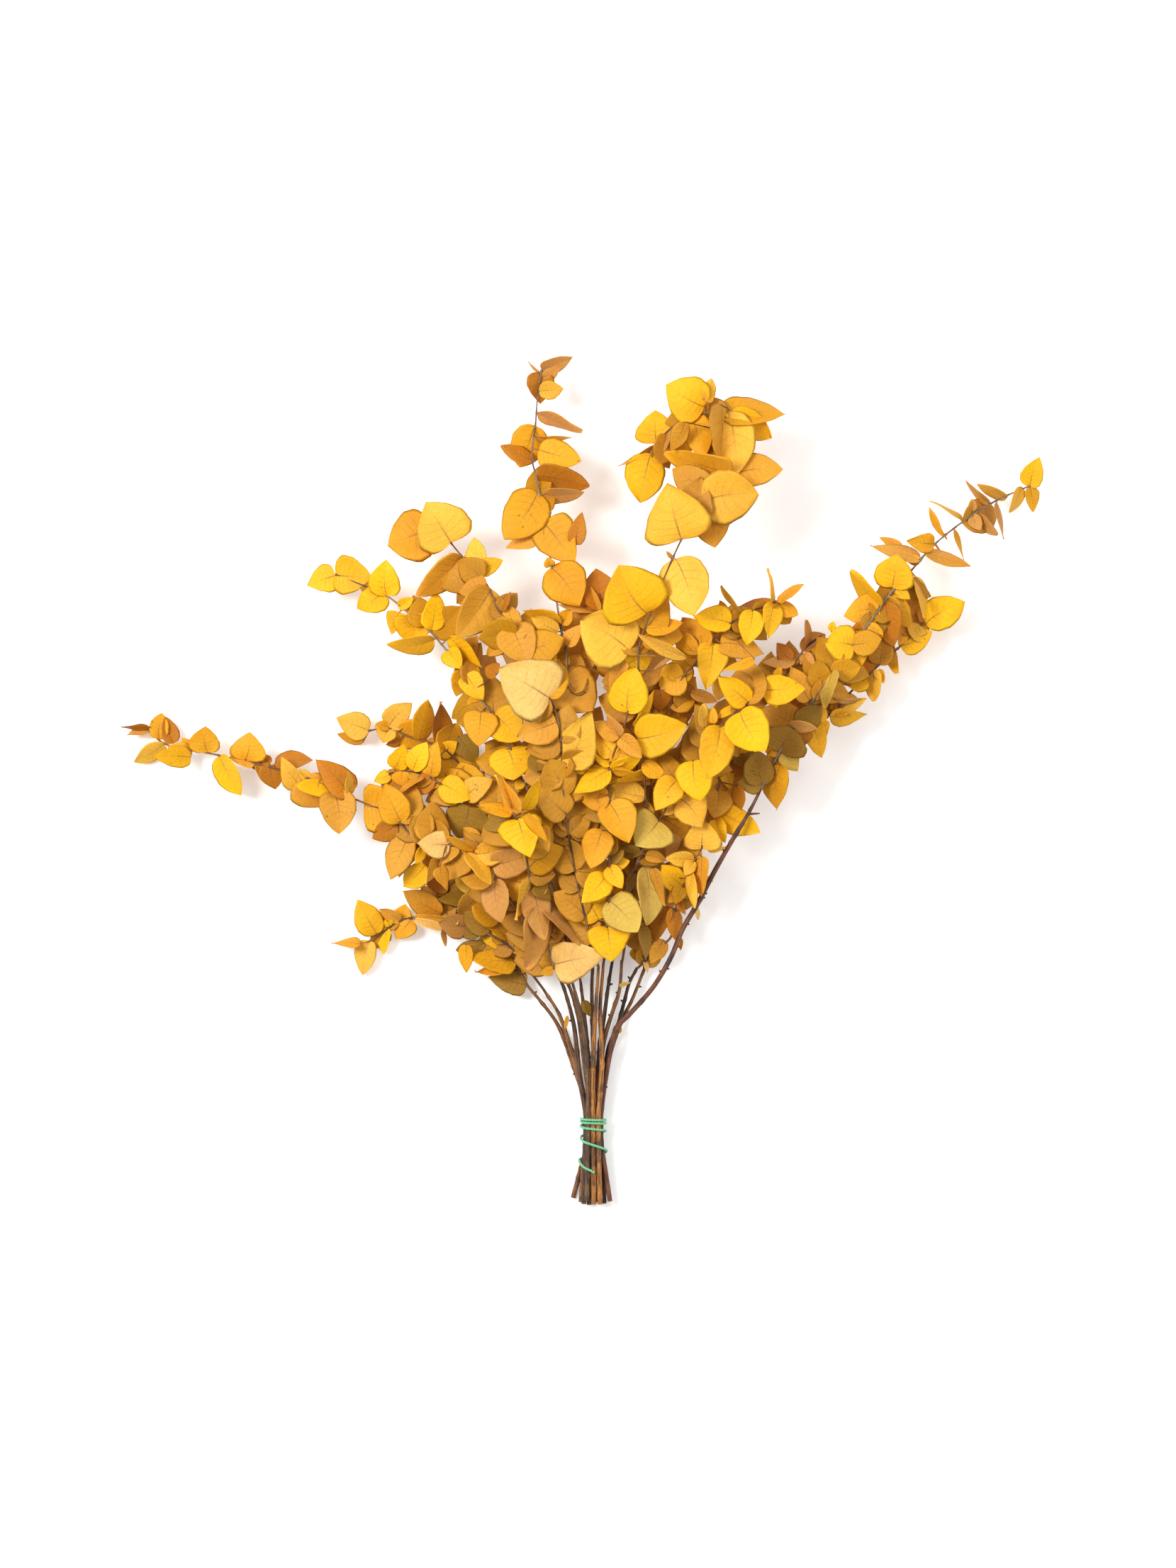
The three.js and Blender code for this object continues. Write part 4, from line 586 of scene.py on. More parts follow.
class Look:
    """One material and the nodes in it."""

    def __init__(self, name, **constants):
        self.material = bpy.data.materials.new(name)
        self.material.use_nodes = True
        self.nodes = self.material.node_tree.nodes
        self.links = self.material.node_tree.links
        self.surface = self.nodes["Principled BSDF"]
        for key, value in constants.items():
            self.surface.inputs[key.replace("_", " ")].default_value = value

    def feed(self, socket, value):
        if isinstance(value, Value):
            self.links.new(value.socket, socket)
        elif isinstance(value, (tuple, np.ndarray)):
            size = len(socket.default_value)
            socket.default_value = (list(value) + [1.0])[:size]
        else:
            socket.default_value = value

    def node(self, kind, output, inputs, **settings):
        """Makes a node and gives one of its outputs, by number."""
        made = self.nodes.new("ShaderNode" + kind)
        for key, value in settings.items():
            setattr(made, key, value)
        for key, value in inputs.items():
            self.feed(made.inputs[key], value)
        return Value(self, made.outputs[output])

    def place(self, axis):
        """Where a point is along (0) and across (1) its leaf, or along and around its rod."""
        return self.node("SeparateXYZ", axis, {0: self.node("UVMap", 0, {}, uv_map=PLACE_MAP)})

    def attribute(self, name, output):
        return self.node("Attribute", output, {}, attribute_name=name)

    def spot(self):
        return self.node("TexCoord", 3, {})

    def mix(self, factor, first, second, blend="MIX"):
        inputs = {0: factor, 6: first, 7: second}
        return self.node("Mix", 2, inputs, data_type="RGBA", blend_type=blend)

    def times(self, shade, other):
        return self.mix(1.0, shade, other, "MULTIPLY")

    def triple(self, x, y, z):
        return self.node("CombineXYZ", 0, {0: x, 1: y, 2: z})

    def noise(self, vector, scale, detail=2.0):
        return self.node("TexNoise", 0, {"Vector": vector, "Scale": scale, "Detail": detail})

    def finish(self, base, roughness, height, depth):
        self.feed(self.surface.inputs["Base Color"], base)
        self.feed(self.surface.inputs["Roughness"], roughness)
        bump = self.node("Bump", 0, {"Height": height, "Distance": depth})
        self.feed(self.surface.inputs["Normal"], bump)
        return self.material


def leaf_material():
    look = Look("dyed_leaf", IOR=1.4, Specular_IOR_Level=0.35)
    along = look.place(0)
    across = look.place(1)
    tone = look.attribute("tone", 0)
    seed = look.attribute("seed", 2)
    own = look.triple(seed * 3.1, seed * 7.7, seed * 5.3)
    spot = look.node("VectorMath", 0, {0: look.spot(), 1: own}, operation="ADD")
    side = (across * 2 - 1).math("ABSOLUTE")

    broad = look.noise(spot, 45.0)
    fine = look.noise(spot, 210.0, 4.0)
    dust = look.noise(spot, 700.0, 3.0)
    browner = look.times(tone, (0.84, 0.78, 0.72))
    base = look.mix(broad.clamped(0.35, 0.72) * 0.5, tone, browner)
    paler = look.times(base, (1.1, 1.14, 1.5))
    base = look.mix(fine.clamped(0.5, 0.78) * 0.6, base, paler)
    warmer = look.times(base, (0.97, 0.86, 0.62))
    base = look.mix(look.noise(spot, 18.0).clamped(0.45, 0.7) * 0.55, base, warmer)
    speckled = look.times(base, (0.7, 0.62, 0.55))
    base = look.mix(dust.clamped(0.4, 0.7) * 0.3, base, speckled)
    base = look.mix(dust.clamped(0.55, 0.3) * 0.22, base, paler)

    ribs = ((along - side * 0.3) * 46.0 + fine * 1.6).math("COSINE").clamped(0.8, 1.0)
    ribs = ribs * side.clamped(1.0, 0.5) * along.clamped(0.95, 0.5) * 0.2
    base = look.mix(ribs, base, look.times(base, (0.62, 0.42, 0.3)))
    fade = (1 - along).clamped(0.12, 1.0)
    midrib = side.clamped(0.05, 0.01) * (fade ** 1.4 * 0.72 + 0.08)
    base = look.mix(midrib, base, (0.2, 0.08, 0.05))
    foot = (1 - along).clamped(0.9, 1.0) * side.clamped(0.8, 0.1) * 0.3
    base = look.mix(foot, base, (0.26, 0.1, 0.05))
    rim = side.clamped(0.95, 1.0) * broad.clamped(0.35, 0.6) * 0.14
    base = look.mix(rim, base, (0.3, 0.15, 0.05))

    cells = look.node("TexVoronoi", 0, {"Vector": spot, "Scale": 150.0})
    flecks = cells.clamped(0.2, 0.08) * look.noise(spot, 32.0).clamped(0.58, 0.68)
    base = look.mix(flecks * 0.6, base, (0.16, 0.06, 0.02))
    roughness = fine * 0.2 + 0.5
    height = fine * 0.35 - midrib * 0.7 - ribs * 0.8
    return look.finish(base, roughness, height, 0.0007)


def bark_material(name, roughness):
    look = Look(name)
    tone = look.attribute("tone", 0)
    spot = look.spot()
    long = look.noise(look.triple(look.place(0) * 0.07, look.place(1) * 1.9, 0.0), 1.0, 4.0)
    patches = look.noise(spot, 55.0, 3.0)
    grain = look.noise(spot, 700.0, 3.0)
    darker = look.times(tone, (0.3, 0.23, 0.2))
    base = look.mix(long.clamped(0.46, 0.58) * 0.9, tone, darker)
    base = look.mix(patches.clamped(0.52, 0.62) * 0.7, base, (0.03, 0.016, 0.011))
    base = look.mix(grain.clamped(0.6, 0.75) * patches.clamped(0.5, 0.36) * 0.5, base,
                    (0.5, 0.38, 0.26))
    base = look.mix(grain.clamped(0.5, 0.3) * 0.3, base, (0.08, 0.04, 0.02))
    return look.finish(base, roughness, long * 0.7 + grain * 0.5, 0.0006)


def cut_material():
    look = Look("cut_wood")
    grain = look.noise(look.spot(), 1500.0, 3.0)
    base = look.mix(grain, CUT_WOOD, CUT_WOOD * 0.55)
    return look.finish(base, 0.8, grain, 0.0003)


def cord_material():
    look = Look("green_cord")
    ply = (look.place(0) * 2.6 + look.place(1) * 2).math("SINE")
    fibre = look.noise(look.spot(), 1400.0, 3.0)
    # painted shade: the cord is darker in the grooves between its plies
    base = look.mix(ply.clamped(-0.2, -1.0) * 0.55, CORD_COLOUR, CORD_COLOUR * 0.5)
    base = look.mix(fibre.clamped(0.4, 0.8) * 0.3, base, (0.55, 0.82, 0.66))
    return look.finish(base, 0.5, ply * 0.6 + fibre * 0.4, 0.0005)


LEAF = leaf_material()
TWIG = bark_material("twig_bark", 0.75)
BARK = bark_material("stem_bark", 0.65)
CUT = cut_material()
CORD = cord_material()


# ---------------- leaves
# corners of a leaf in the frame, as shares of its length and width, and the shares of its size
# that it may have there
WIDE_LEAF = [(0.22, -0.44), (0.62, -0.46), (1, 0), (0.62, 0.46), (0.22, 0.44)]
SLIM_LEAF = [(0.42, -0.5), (1, 0), (0.42, 0.5)]
LEAF_SHARES = (1, 0.85, 0.7, 0.55, 0.4, 0.28)
FOOT_REACH = 14         # more than there is from a leaf's base to its twig
CORNER_GAP = 0.07       # from a corner to the frame's own
LEAST_PLATE = 0.5       # the plates in the frame are thicker than this
MOST_MISFIT = 1.0       # of the corners from one plane


def leaf_axes(row):
    """A leaf's length, and its directions along and across, as seen from above."""
    run = np.array([row[2] - row[0], row[3] - row[1]])
    length = math.hypot(*run)
    along = run / length
    return length, along, np.array([-along[1], along[0]])


def plan_corners(row, foot, share):
    """The outline of a frame leaf as seen from above."""
    length, along, aside = leaf_axes(row)
    outline = [np.array(row[:2]) + along * t * length * share + aside * s * row[4] * share
               for t, s in (SLIM_LEAF if row[4] < SLIM_WIDTH else WIDE_LEAF)]
    return outline + [foot[:2] - along * 0.12 * TWIG_DIAMETER]


def leaf_plane(vertices, row, foot):
    """Size share and plane (height at the foot, slopes) of a leaf, from the frame's own solid."""
    distance = np.hypot(vertices[:, 0] - row[0], vertices[:, 1] - row[1])
    near = vertices[distance < leaf_axes(row)[0] + FOOT_REACH]
    for share in LEAF_SHARES:
        found = [(0, 0, foot[2])]
        for corner in plan_corners(row, foot, share):
            gap = np.hypot(near[:, 0] - corner[0], near[:, 1] - corner[1])
            heights = near[gap < CORNER_GAP, 2]
            if len(heights) > 1 and np.ptp(heights) > LEAST_PLATE:
                middle = (heights.min() + heights.max()) / 2
                found.append((*(corner - foot[:2]), middle))
        if len(found) > 2:
            found = np.array(found)
            system = np.column_stack([np.ones(len(found)), found[:, :2]])
            plane, *_ = np.linalg.lstsq(system, found[:, 2], rcond=None)
            if np.abs(system @ plane - found[:, 2]).max() < MOST_MISFIT:
                return share, plane
    return 1, np.array([foot[2], 0, 0])


def leaf_surface(row, foot, share, plane, chance):
    """Grid of points over the leaf's blade: rounded base, pointed tip, gently waved."""
    length, along, aside = leaf_axes(row)
    length *= share
    width = row[4] * share * 1.1
    fullness = min(1.1, max(width / length, NATURAL_WIDTH))
    rows = 21 if length > BIG_LEAF else 13
    columns = 13 if length > BIG_LEAF else 9
    t = (0.5 - 0.5 * np.cos(np.linspace(0, math.pi, rows)))[:, None]
    v = np.linspace(-1, 1, columns)[None, :]
    lobe = chance.uniform(0.0, 0.1) + 0.42 * max(0, fullness - 0.8)
    shoulder = chance.uniform(0.48, 0.7)
    rim_along = 3 * t * (1 - t) ** 2 * -lobe + 3 * t ** 2 * (1 - t) * shoulder + t ** 3
    broad = chance.uniform(0.42, 0.62)
    rim_aside = 1.26 * (3 * t * (1 - t) ** 2 * (1.06 - broad) + 3 * t ** 2 * (1 - t) * broad)
    scallop = [chance.uniform(0.93, 1.05)
               + 0.022 * np.sin(t * chance.uniform(24, 34) + chance.uniform(0, 6))
               + 0.05 * np.sin(t * chance.uniform(4, 9) + chance.uniform(0, 6))
               for _ in range(2)]
    rim_aside = rim_aside * np.where(v < 0, scallop[0], scallop[1])
    rib = t ** 1.15
    sweep = chance.uniform(-0.08, 0.08) * width * 4 * t * (1 - t)
    plan_along = length * (rib + np.abs(v) * (rim_along - rib))
    plan_aside = v * np.maximum(rim_aside * width, 0.1) + sweep
    half = rim_aside * width
    x = row[0] + along[0] * plan_along + aside[0] * plan_aside
    y = row[1] + along[1] * plan_along + aside[1] * plan_aside
    z = plane[0] + plane[1] * (x - foot[0]) + plane[2] * (y - foot[1])
    normal = np.array([-plane[1], -plane[2], 1]) / math.hypot(1, plane[1], plane[2])
    arch = chance.uniform(-0.02, 0.09) * length * 4 * t * (1 - t)
    fold = chance.uniform(-0.1, 0.24) * np.abs(v) * half
    curl = chance.uniform(-0.08, 0.1) * length * (v * (1 if chance.random() < 0.5 else -1)
                                                  ).clip(0) ** 2 * t
    wave = (0.024 * length * np.sin(t * chance.uniform(5, 10) + chance.uniform(0, 6)
            + v * chance.uniform(0.4, 1.6)) * np.abs(v) ** 1.4)
    relief = arch + fold + curl + wave
    surface = np.stack([x, y, z], 2) + relief[:, :, None] * normal
    places = np.stack(np.broadcast_arrays(t, (v + 1) / 2), 2)
    return surface, normal, places


def over_twig(surface, foot, curve):
    """Lifts a blade a little where it crosses its own twig, so that it lies on the twig."""
    points = surface.reshape(-1, 3)
    twig = curve.fine[::4]
    gaps = np.hypot(points[:, None, 0] - twig[None, :, 0], points[:, None, 1] - twig[None, :, 1])
    distance = np.hypot(points[:, 0] - foot[0], points[:, 1] - foot[1])
    lift = TWIG_LIFT * np.clip(distance / LIFT_RUN, 0, 1)
    crossing = (gaps.min(1) < CROSSING) & (distance > LIFT_RUN)
    if crossing.any():
        short = twig[gaps.argmin(1), 2] + TWIG_LIFT - points[:, 2] - lift
        tilt = np.clip((short / np.maximum(distance, 1))[crossing].max(), 0, MOST_TILT)
        surface[:, :, 2] += (lift + tilt * distance).reshape(surface.shape[:2])


def add_leaf(builder, leaf, curve, chance):
    row, foot, (share, plane), tone, light = leaf
    surface, normal, places = leaf_surface(row, foot, share, plane, chance)
    rise = plane[1] * (row[2] - row[0]) + plane[2] * (row[3] - row[1])
    if light is FRONT_LIGHT and rise >= 0:
        over_twig(surface, foot, curve)
    surface[:, :, 2] = np.maximum(surface[:, :, 2], LEAST_HEIGHT)
    seed = chance.random()
    # painted shade: light darkens the colour of the leaves that lie behind and below the others
    shade = TONE_COLOURS[tone] * chance.uniform(0.9, 1.06) * light
    shade = shade * np.array([1, chance.uniform(0.97, 1.03), chance.uniform(0.85, 1.15)])
    builder.sheet(surface, -normal * LEAF_THICKNESS, places, shade, seed, 0)
    base = surface[0].mean(0)
    gap = np.array([base[0] - foot[0], base[1] - foot[1]])
    if np.hypot(*gap) > 0.7:
        ends = np.array([foot, base + (surface[1].mean(0) - base) * 0.6])
        t = np.linspace(0, 1, 5)[:, None]
        stalk = ends[0] * (1 - t) + ends[1] * t
        stalk[:, 2] += 0.25
        radii = np.linspace(0.62, 0.4, 5)
        builder.tube(stalk, radii, 6, shade * 0.45 + TWIG_COLOUR * 0.4, seed, 1)


# ---------------- twigs and their leaves
GREY_SHOOTS = ("shoot_north", "shoot_upper_left_yellow", "shoot_right_top", "shoot_pale")
OLIVE_SHOOTS = ("shoot_olive", "shoot_lower_olive", "shoot_left_back")
# painted shade: colour factors for the leaves; front leaves keep their colour, leaves behind the others
# and low in the bunch are darker
FRONT_LIGHT = np.ones(3)
BACK_PAINTED_SHADE = np.array([0.82, 0.82, 0.76])
LOW_PAINTED_SHADE = np.array([0.66, 0.64, 0.55])
TWIG_STEP = 2.5         # between the rings of a twig
TWIG_TAPER = 0.45
MOST_TWIG_RADIUS = 1.35
MOST_BARE_GAP = 3       # from a twig's start to what it grows on
# the leaves behind the listed ones: where they may grow along a twig, how long and how turned
STATION_STEP = 7
BACK_TURNS = (1.2, 0.7, 1.7, 0.3)
BACK_LENGTHS = (31, 23)
LOW_LENGTHS = (27, 20)
BACK_WIDTH = 0.72       # as a share of the length
MOST_DROP = 0.55        # of a low leaf's tip, as a share of the length
WIDER_BACK = 1.12       # how much wider they are than their plates in the frame
# a gap is looked for at these shares of a leaf, and other leaves around it within these reaches
GAP_STATIONS = (0.4, 0.65, 0.9)
GAP_REACHES = (8, 14, 20, 26, 32)


class Cover:
    """Which plan points are under a leaf."""

    def __init__(self, rows):
        self.rows = np.array(rows, float)

    def add(self, row):
        self.rows = np.vstack([self.rows, row])

    def covered(self, x, y):
        bx, by, tx, ty, width = self.rows.T[:, :, None]
        length = np.hypot(tx - bx, ty - by)
        along = ((x - bx) * (tx - bx) + (y - by) * (ty - by)) / length
        aside = ((y - by) * (tx - bx) - (x - bx) * (ty - by)) / length
        inside = (2 * along / length - 1) ** 2 + (2 * aside / width) ** 2 < 1
        return inside.any(0)

    def hemmed_in(self, x, y):
        turn, reach = np.meshgrid(np.arange(8) * math.pi / 4, GAP_REACHES, indexing="ij")
        around = self.covered((x + reach * np.cos(turn)).ravel(), (y + reach * np.sin(turn)).ravel())
        return around.reshape(turn.shape).any(1).all()

    def closes_gap(self, row, least):
        bx, by, tx, ty = row[:4]
        t = np.array(GAP_STATIONS + (1,))
        x = bx + t * (tx - bx)
        y = by + t * (ty - by)
        under = self.covered(x, y)
        if (~under[:-1]).sum() < least:
            return False
        return all(hidden or self.hemmed_in(px, py) for px, py, hidden in zip(x, y, under))


def back_leaves(route, cover, lengths, least):
    """Leaves behind the others, to either side of the twig, where they close a gap."""
    grown = []
    for start, stop in zip(route, route[1:]):
        count = int(math.hypot(stop[0] - start[0], stop[1] - start[1]) / STATION_STEP + 0.5)
        heading = math.atan2(stop[1] - start[1], stop[0] - start[0])
        for j in range(count):
            x = start[0] + (stop[0] - start[0]) * j / count
            y = start[1] + (stop[1] - start[1]) * j / count
            for side in (-1, 1):
                tries = [(x, y, x + length * math.cos(heading + side * turn),
                          y + length * math.sin(heading + side * turn), length * BACK_WIDTH)
                         for length in lengths for turn in BACK_TURNS]
                row = next((row for row in tries if cover.closes_gap(row, least)), None)
                if row:
                    cover.add(row)
                    grown.append(row)
    return grown


cover = Cover(listed_rows)
back_rows = {name: back_leaves(route, cover, BACK_LENGTHS, 2)
             for name, (_, route, _) in SHOOTS.items()}
# the tone of a leaf behind the others, by the tone of the listed leaf that is nearest to it; the
# brightest tones give darker ones, as painted shade
BACK_TONES = {"b": "g", "y": "g", "g": "g", "l": "o", "o": "o",
              "a": "o", "t": "o", "v": "o", "k": "v", "p": "t"}


def back_tone(name, row):
    tones, _, rows = SHOOTS[name]
    _, tone = min(zip(rows, tones), key=lambda pair: math.dist(pair[0][2:4], row[2:4]))
    return BACK_TONES[tone]


def framed_leaves(name, curve):
    """The leaves that the frame holds, each with its row, foot, size and plane, tone and painted shade.
    """
    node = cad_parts[name].data
    vertices = np.zeros(len(node.vertices) * 3)
    node.vertices.foreach_get("co", vertices)
    vertices = vertices.reshape(-1, 3) / MM - SHIFT
    leaves = []
    tones, _, rows = SHOOTS[name]
    for row, tone in zip(rows, tones):
        foot, _ = curve.nearest(row[0], row[1])
        leaves.append((row, foot, leaf_plane(vertices, row, foot), tone, FRONT_LIGHT))
    for row in back_rows[name]:
        foot, _ = curve.nearest(row[0], row[1])
        found = leaf_plane(vertices, row, foot)
        wider = row[:4] + (row[4] * WIDER_BACK,)
        leaves.append((wider, foot, found, back_tone(name, row), BACK_PAINTED_SHADE))
    return leaves


def low_leaf(row, curve, tone):
    """A leaf that hangs below its twig, deep in the bunch, and is darkened by painted shade."""
    foot, _ = curve.nearest(row[0], row[1])
    length, along, _ = leaf_axes(row)
    slope = -along * min(MOST_DROP * length, max(foot[2] - 3, 0)) / length
    return row, foot, (1, np.array([foot[2], *slope])), tone, LOW_PAINTED_SHADE


chances = {name: random.Random(name) for name in SHOOTS}
leaves = {name: framed_leaves(name, curve) for name, curve in shoot_curves.items()}
real_rows = []
for leaf in sum(leaves.values(), []):
    bx, by, tx, ty, width = leaf[0]
    share = leaf[2][0]
    real_rows.append((bx, by, bx + share * (tx - bx), by + share * (ty - by), width * share))
cover = Cover(real_rows)
for name, curve in shoot_curves.items():
    for row in back_leaves(SHOOTS[name][1], cover, LOW_LENGTHS, 1):
        leaves[name].append(low_leaf(row, curve, back_tone(name, row)))

def bridged(points, name):
    """The twig's points, run on below to the nearest other twig or stem where it starts clear."""
    others = [stem.fine for stem in stem_curves]
    others += [other.fine for key, other in shoot_curves.items() if key != name]
    gaps = [np.linalg.norm(other - points[0], axis=1).min() for other in others]
    gap = min(gaps)
    if gap <= MOST_BARE_GAP:
        return points
    parent = others[gaps.index(gap)]
    ahead = points[1] - points[0]
    aim = points[0] - ahead / np.linalg.norm(ahead) * gap * 1.4
    start = parent[np.linalg.norm(parent - aim, axis=1).argmin()]
    bridge = Curve([start, (start + aim + points[0]) / 3, points[0], points[1]])
    return np.vstack([bridge.spaced(TWIG_STEP)[:-2], points])


for name, curve in shoot_curves.items():
    chance = chances[name]
    builder = Builder()
    for leaf in leaves[name]:
        add_leaf(builder, leaf, curve, chance)
    points = bridged(curve.spaced(TWIG_STEP), name)
    reach = np.linspace(0, 1, len(points))
    radii = TWIG_DIAMETER / 2 * (1 - TWIG_TAPER * reach)
    for row in SHOOTS[name][2]:
        _, place = curve.nearest(row[0], row[1])
        radii = radii + 0.3 * np.exp(-((reach * curve.length - place) / 1.6) ** 2)
    radii = np.minimum(radii, MOST_TWIG_RADIUS)
    shade = GREY_TWIG if name in GREY_SHOOTS else TWIG_COLOUR
    builder.tube(points, radii, 8, shade, chance.random(), 1)
    piece = builder.make("leafy_" + name, [LEAF, TWIG])
    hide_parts(name)
    "olive_leaf" if name in OLIVE_SHOOTS else "leaf"

# ---------------- stems
STEM_SIDES = 12
STEM_STEP = 2.0         # between the rings of a stem
KNOT_STEP = 16          # between knots, on average
CUT_BULGE = 0.1
# nubs and broken side twigs on the stems: x, y and length
NUBS = [
    (51, 121, 1.2), (57, 123, 1.2), (74, 157, 1), (85, 178, 1.2), (87, 181, 1), (19, 104, 1),
    (14, 110, 1.2), (28, 115, 1.4), (13, 86, 1), (-23, 70, 1), (-14, 40, 0.9), (9, 30, 0.9),
    (-8, 62, 1), (16, 71, 1), (-19, 82, 1), (22, 97, 1.2), (36, 108, 1.2), (-44, 104, 0.9),
    (66, 140, 1), (100, 214, 1.2), (119, 243, 6)
]
# dry scraps of leaf that are caught on the stems: base, tip, width and tone
SCRAPS = [
    (-20, 87, -22, 76, 3, "o"), (-8, 98, -2.5, 86, 7, "v"), (21, 77, 21, 72, 3, "l"),
    (20, 110, 29, 113, 3, "k"),
]


def nearest_stem(x, y):
    return min(range(len(stem_curves)), key=lambda k: np.hypot(
        stem_curves[k].fine[:, 0] - x, stem_curves[k].fine[:, 1] - y).min())


def add_nub(builder, curve, x, y, length, tone):
    gaps = np.hypot(curve.fine[:, 0] - x, curve.fine[:, 1] - y)
    k = int(np.argmin(gaps))
    ahead = curve.fine[min(k + 12, len(curve.fine) - 1)] - curve.fine[k]
    ahead /= np.linalg.norm(ahead)
    outward = np.array([x - curve.fine[k][0], y - curve.fine[k][1], 0.4])
    outward /= np.linalg.norm(outward)
    spike = outward * 1.2 + ahead * 0.5
    ends = curve.fine[k] + np.linspace(0, 1, 5)[:, None] * spike * (length + 1.4)
    builder.tube(ends, np.array([1.1, 1.0, 0.85, 0.75, 0.5]), 7, tone * 0.8, 0.3, 0)


for number, curve in enumerate(stem_curves):
    chance = random.Random(number + 1)
    builder = Builder()
    points = curve.spaced(STEM_STEP)
    points = np.vstack([points, 2 * points[-1] - points[-2]])
    reach = np.linspace(0, curve.length, len(points))
    taper = np.interp(curve.length - reach, (0, 70), (0.62, 1.1))[:, None]
    radii = np.full((len(points), STEM_SIDES), STEM_DIAMETER / 2) * taper
    for _ in range(int(curve.length / KNOT_STEP)):
        knot = chance.uniform(0, curve.length)
        facing = chance.randrange(STEM_SIDES)
        bump = np.exp(-((reach - knot) / 1.8) ** 2)[:, None]
        radii = radii + 0.32 * bump * (0.3 + np.roll(np.hanning(STEM_SIDES), facing))
    radii = np.minimum(radii, STEM_DIAMETER / 2 * 1.35)
    tone = STEM_COLOURS[number]
    index = builder.tube(points, radii, STEM_SIDES, tone, chance.random(), 0)
    for x, y, length in NUBS:
        if nearest_stem(x, y) == number:
            add_nub(builder, curve, x, y, length, tone)
    for *row, scrap_tone in SCRAPS:
        if nearest_stem(*row[:2]) == number:
            foot, _ = curve.nearest(*row[:2])
            flat = np.array([foot[2] + STEM_DIAMETER / 2 + 0.6, 0, 0])
            blade, normal, places = leaf_surface(row, foot, 1, flat, chance)
            builder.sheet(blade, -normal * LEAF_THICKNESS, places, TONE_COLOURS[scrap_tone] * 0.8,
                          chance.random(), 2)
    backward = points[0] - points[1]
    builder.cap(index[0], CUT_WOOD, 1, backward / np.linalg.norm(backward) * CUT_BULGE)
    builder.cap(index[-1][::-1], tone * 0.8, 0)
    name = "stem_%02d" % (number + 1)
    piece = builder.make("bark_" + name, [BARK, CUT, LEAF])
    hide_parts(name)

# ---------------- tie
# at each half turn, alternately at the left and the right of the bundle, the cord is at this y
TIE_HALF_TURNS = [6.4, 5.2, 4, 2.7, 0.6, -3, -8.3, -18.8, -27.7]
TIE_END_TURN = 0.55     # of a half turn, over the front
TIE_END_Y = -35.2
TIE_RINGS = 420


def stem_points_at(y):
    crossings = []
    for curve in stem_curves:
        low = curve.fine[:, 1].searchsorted(y)
        crossings.append(curve.fine[min(low, len(curve.fine) - 1)])
    return np.array(crossings)


def around_bundle(y, angle):
    middle = (ROW_HEIGHT[0] + ROW_HEIGHT[3]) / 2
    points = stem_points_at(y)
    covering = STEM_DIAMETER / 2 + TIE_SLACK + TIE_DIAMETER / 2
    sweep = (np.arange(21) - 10) * math.pi / 24
    reach = np.array([(points[:, 0] * math.cos(angle + turn)
                       + (points[:, 2] - middle) * math.sin(angle + turn)).max()
                      for turn in sweep])
    outward = ((reach + covering) / np.cos(sweep)).min()
    return outward * math.cos(angle), y, middle + outward * math.sin(angle)


whole = len(TIE_HALF_TURNS) - 1
turns = np.linspace(0, whole + TIE_END_TURN, TIE_RINGS)
tie_y = np.interp(turns, list(range(whole + 1)) + [whole + TIE_END_TURN],
                  TIE_HALF_TURNS + [TIE_END_Y])
tie_points = np.array([around_bundle(y, math.pi * (1 - turn)) for y, turn in zip(tie_y, turns)])
kernel = np.ones(7) / 7
padded = np.vstack([tie_points[:1]] * 3 + [tie_points] + [tie_points[-1:]] * 3)
tie_points = np.stack([np.convolve(padded[:, k], kernel, "valid") for k in range(3)], 1)
builder = Builder()
index = builder.tube(tie_points, np.full(len(tie_points), TIE_DIAMETER / 2 * 0.96), 10,
                     CORD_COLOUR, 0.5, 0)
builder.cap(index[0], CORD_COLOUR, 0)
builder.cap(index[-1][::-1], CORD_COLOUR, 0)
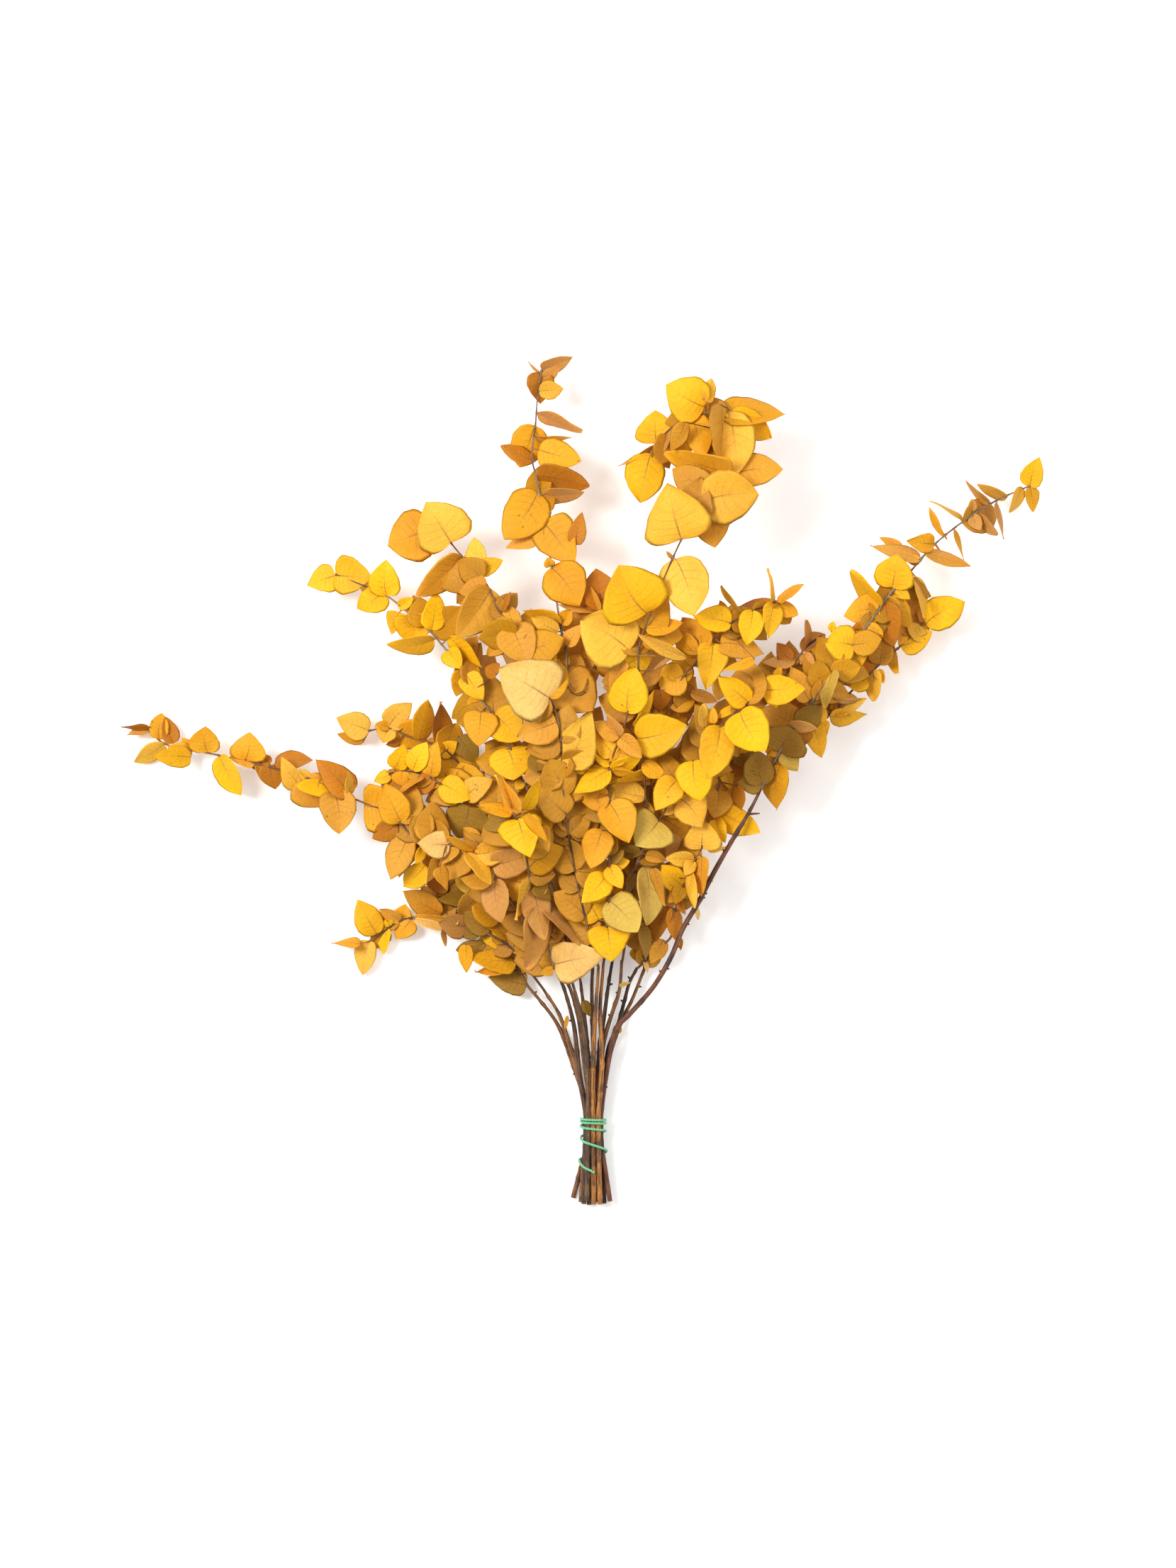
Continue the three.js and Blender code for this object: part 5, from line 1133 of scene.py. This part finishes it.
piece = builder.make("green_tie", [CORD])
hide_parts("tie_cord")

# ---------------- floor, light and camera
floor_look = Look("white_floor", Roughness=0.9)
floor_look.surface.inputs["Base Color"].default_value = (0.93, 0.93, 0.93, 1)
floor_look.surface.inputs["Emission Color"].default_value = (1, 0.985, 0.97, 1)
floor_look.surface.inputs["Emission Strength"].default_value = 0.24
floor_mesh = bpy.data.meshes.new("floor")
edge = 6.0
floor_mesh.from_pydata([(-edge, -edge, 0), (edge, -edge, 0), (edge, edge, 0), (-edge, edge, 0)],
                       [], [(0, 1, 2, 3)])
floor_mesh.materials.append(floor_look.material)
floor = bpy.data.objects.new("floor", floor_mesh)
bpy.context.scene.collection.objects.link(floor)


def soft_light(name, place, size, power, shade):
    lamp = bpy.data.lights.new(name, "AREA")
    lamp.shape = "RECTANGLE"
    lamp.size = size[0]
    lamp.size_y = size[1]
    lamp.energy = power
    lamp.color = shade
    light = bpy.data.objects.new(name, lamp)
    light.location = place
    aim = Vector((0, 0, 0.05)) - Vector(place)
    light.rotation_euler = aim.to_track_quat("-Z", "Y").to_euler()
    bpy.context.scene.collection.objects.link(light)


soft_light("light_left", (-1.7, 0.7, 2.6), (1.0, 1.2), 92, (1, 0.99, 0.97))
soft_light("light_right", (2.4, 0.2, 2.3), (1.4, 1.8), 34, (1, 0.985, 0.96))
soft_light("light_top", (0.1, 1.2, 3.0), (2.5, 1.6), 24, (1, 1, 1))

world = bpy.data.worlds.new("white_room")
world.use_nodes = True
world.node_tree.nodes["Background"].inputs[0].default_value = (1, 1, 1, 1)
world.node_tree.nodes["Background"].inputs[1].default_value = 0.4
bpy.context.scene.world = world
bpy.context.scene.view_settings.view_transform = "Standard"

camera_data = bpy.data.cameras.new("camera")
camera_data.lens = 100
camera_data.sensor_width = 36
camera = bpy.data.objects.new("camera", camera_data)
camera.location = ((-4.1 + SHIFT[0]) * MM, (266.2 + SHIFT[1]) * MM, 3.395)
bpy.context.scene.collection.objects.link(camera)
bpy.context.scene.camera = camera
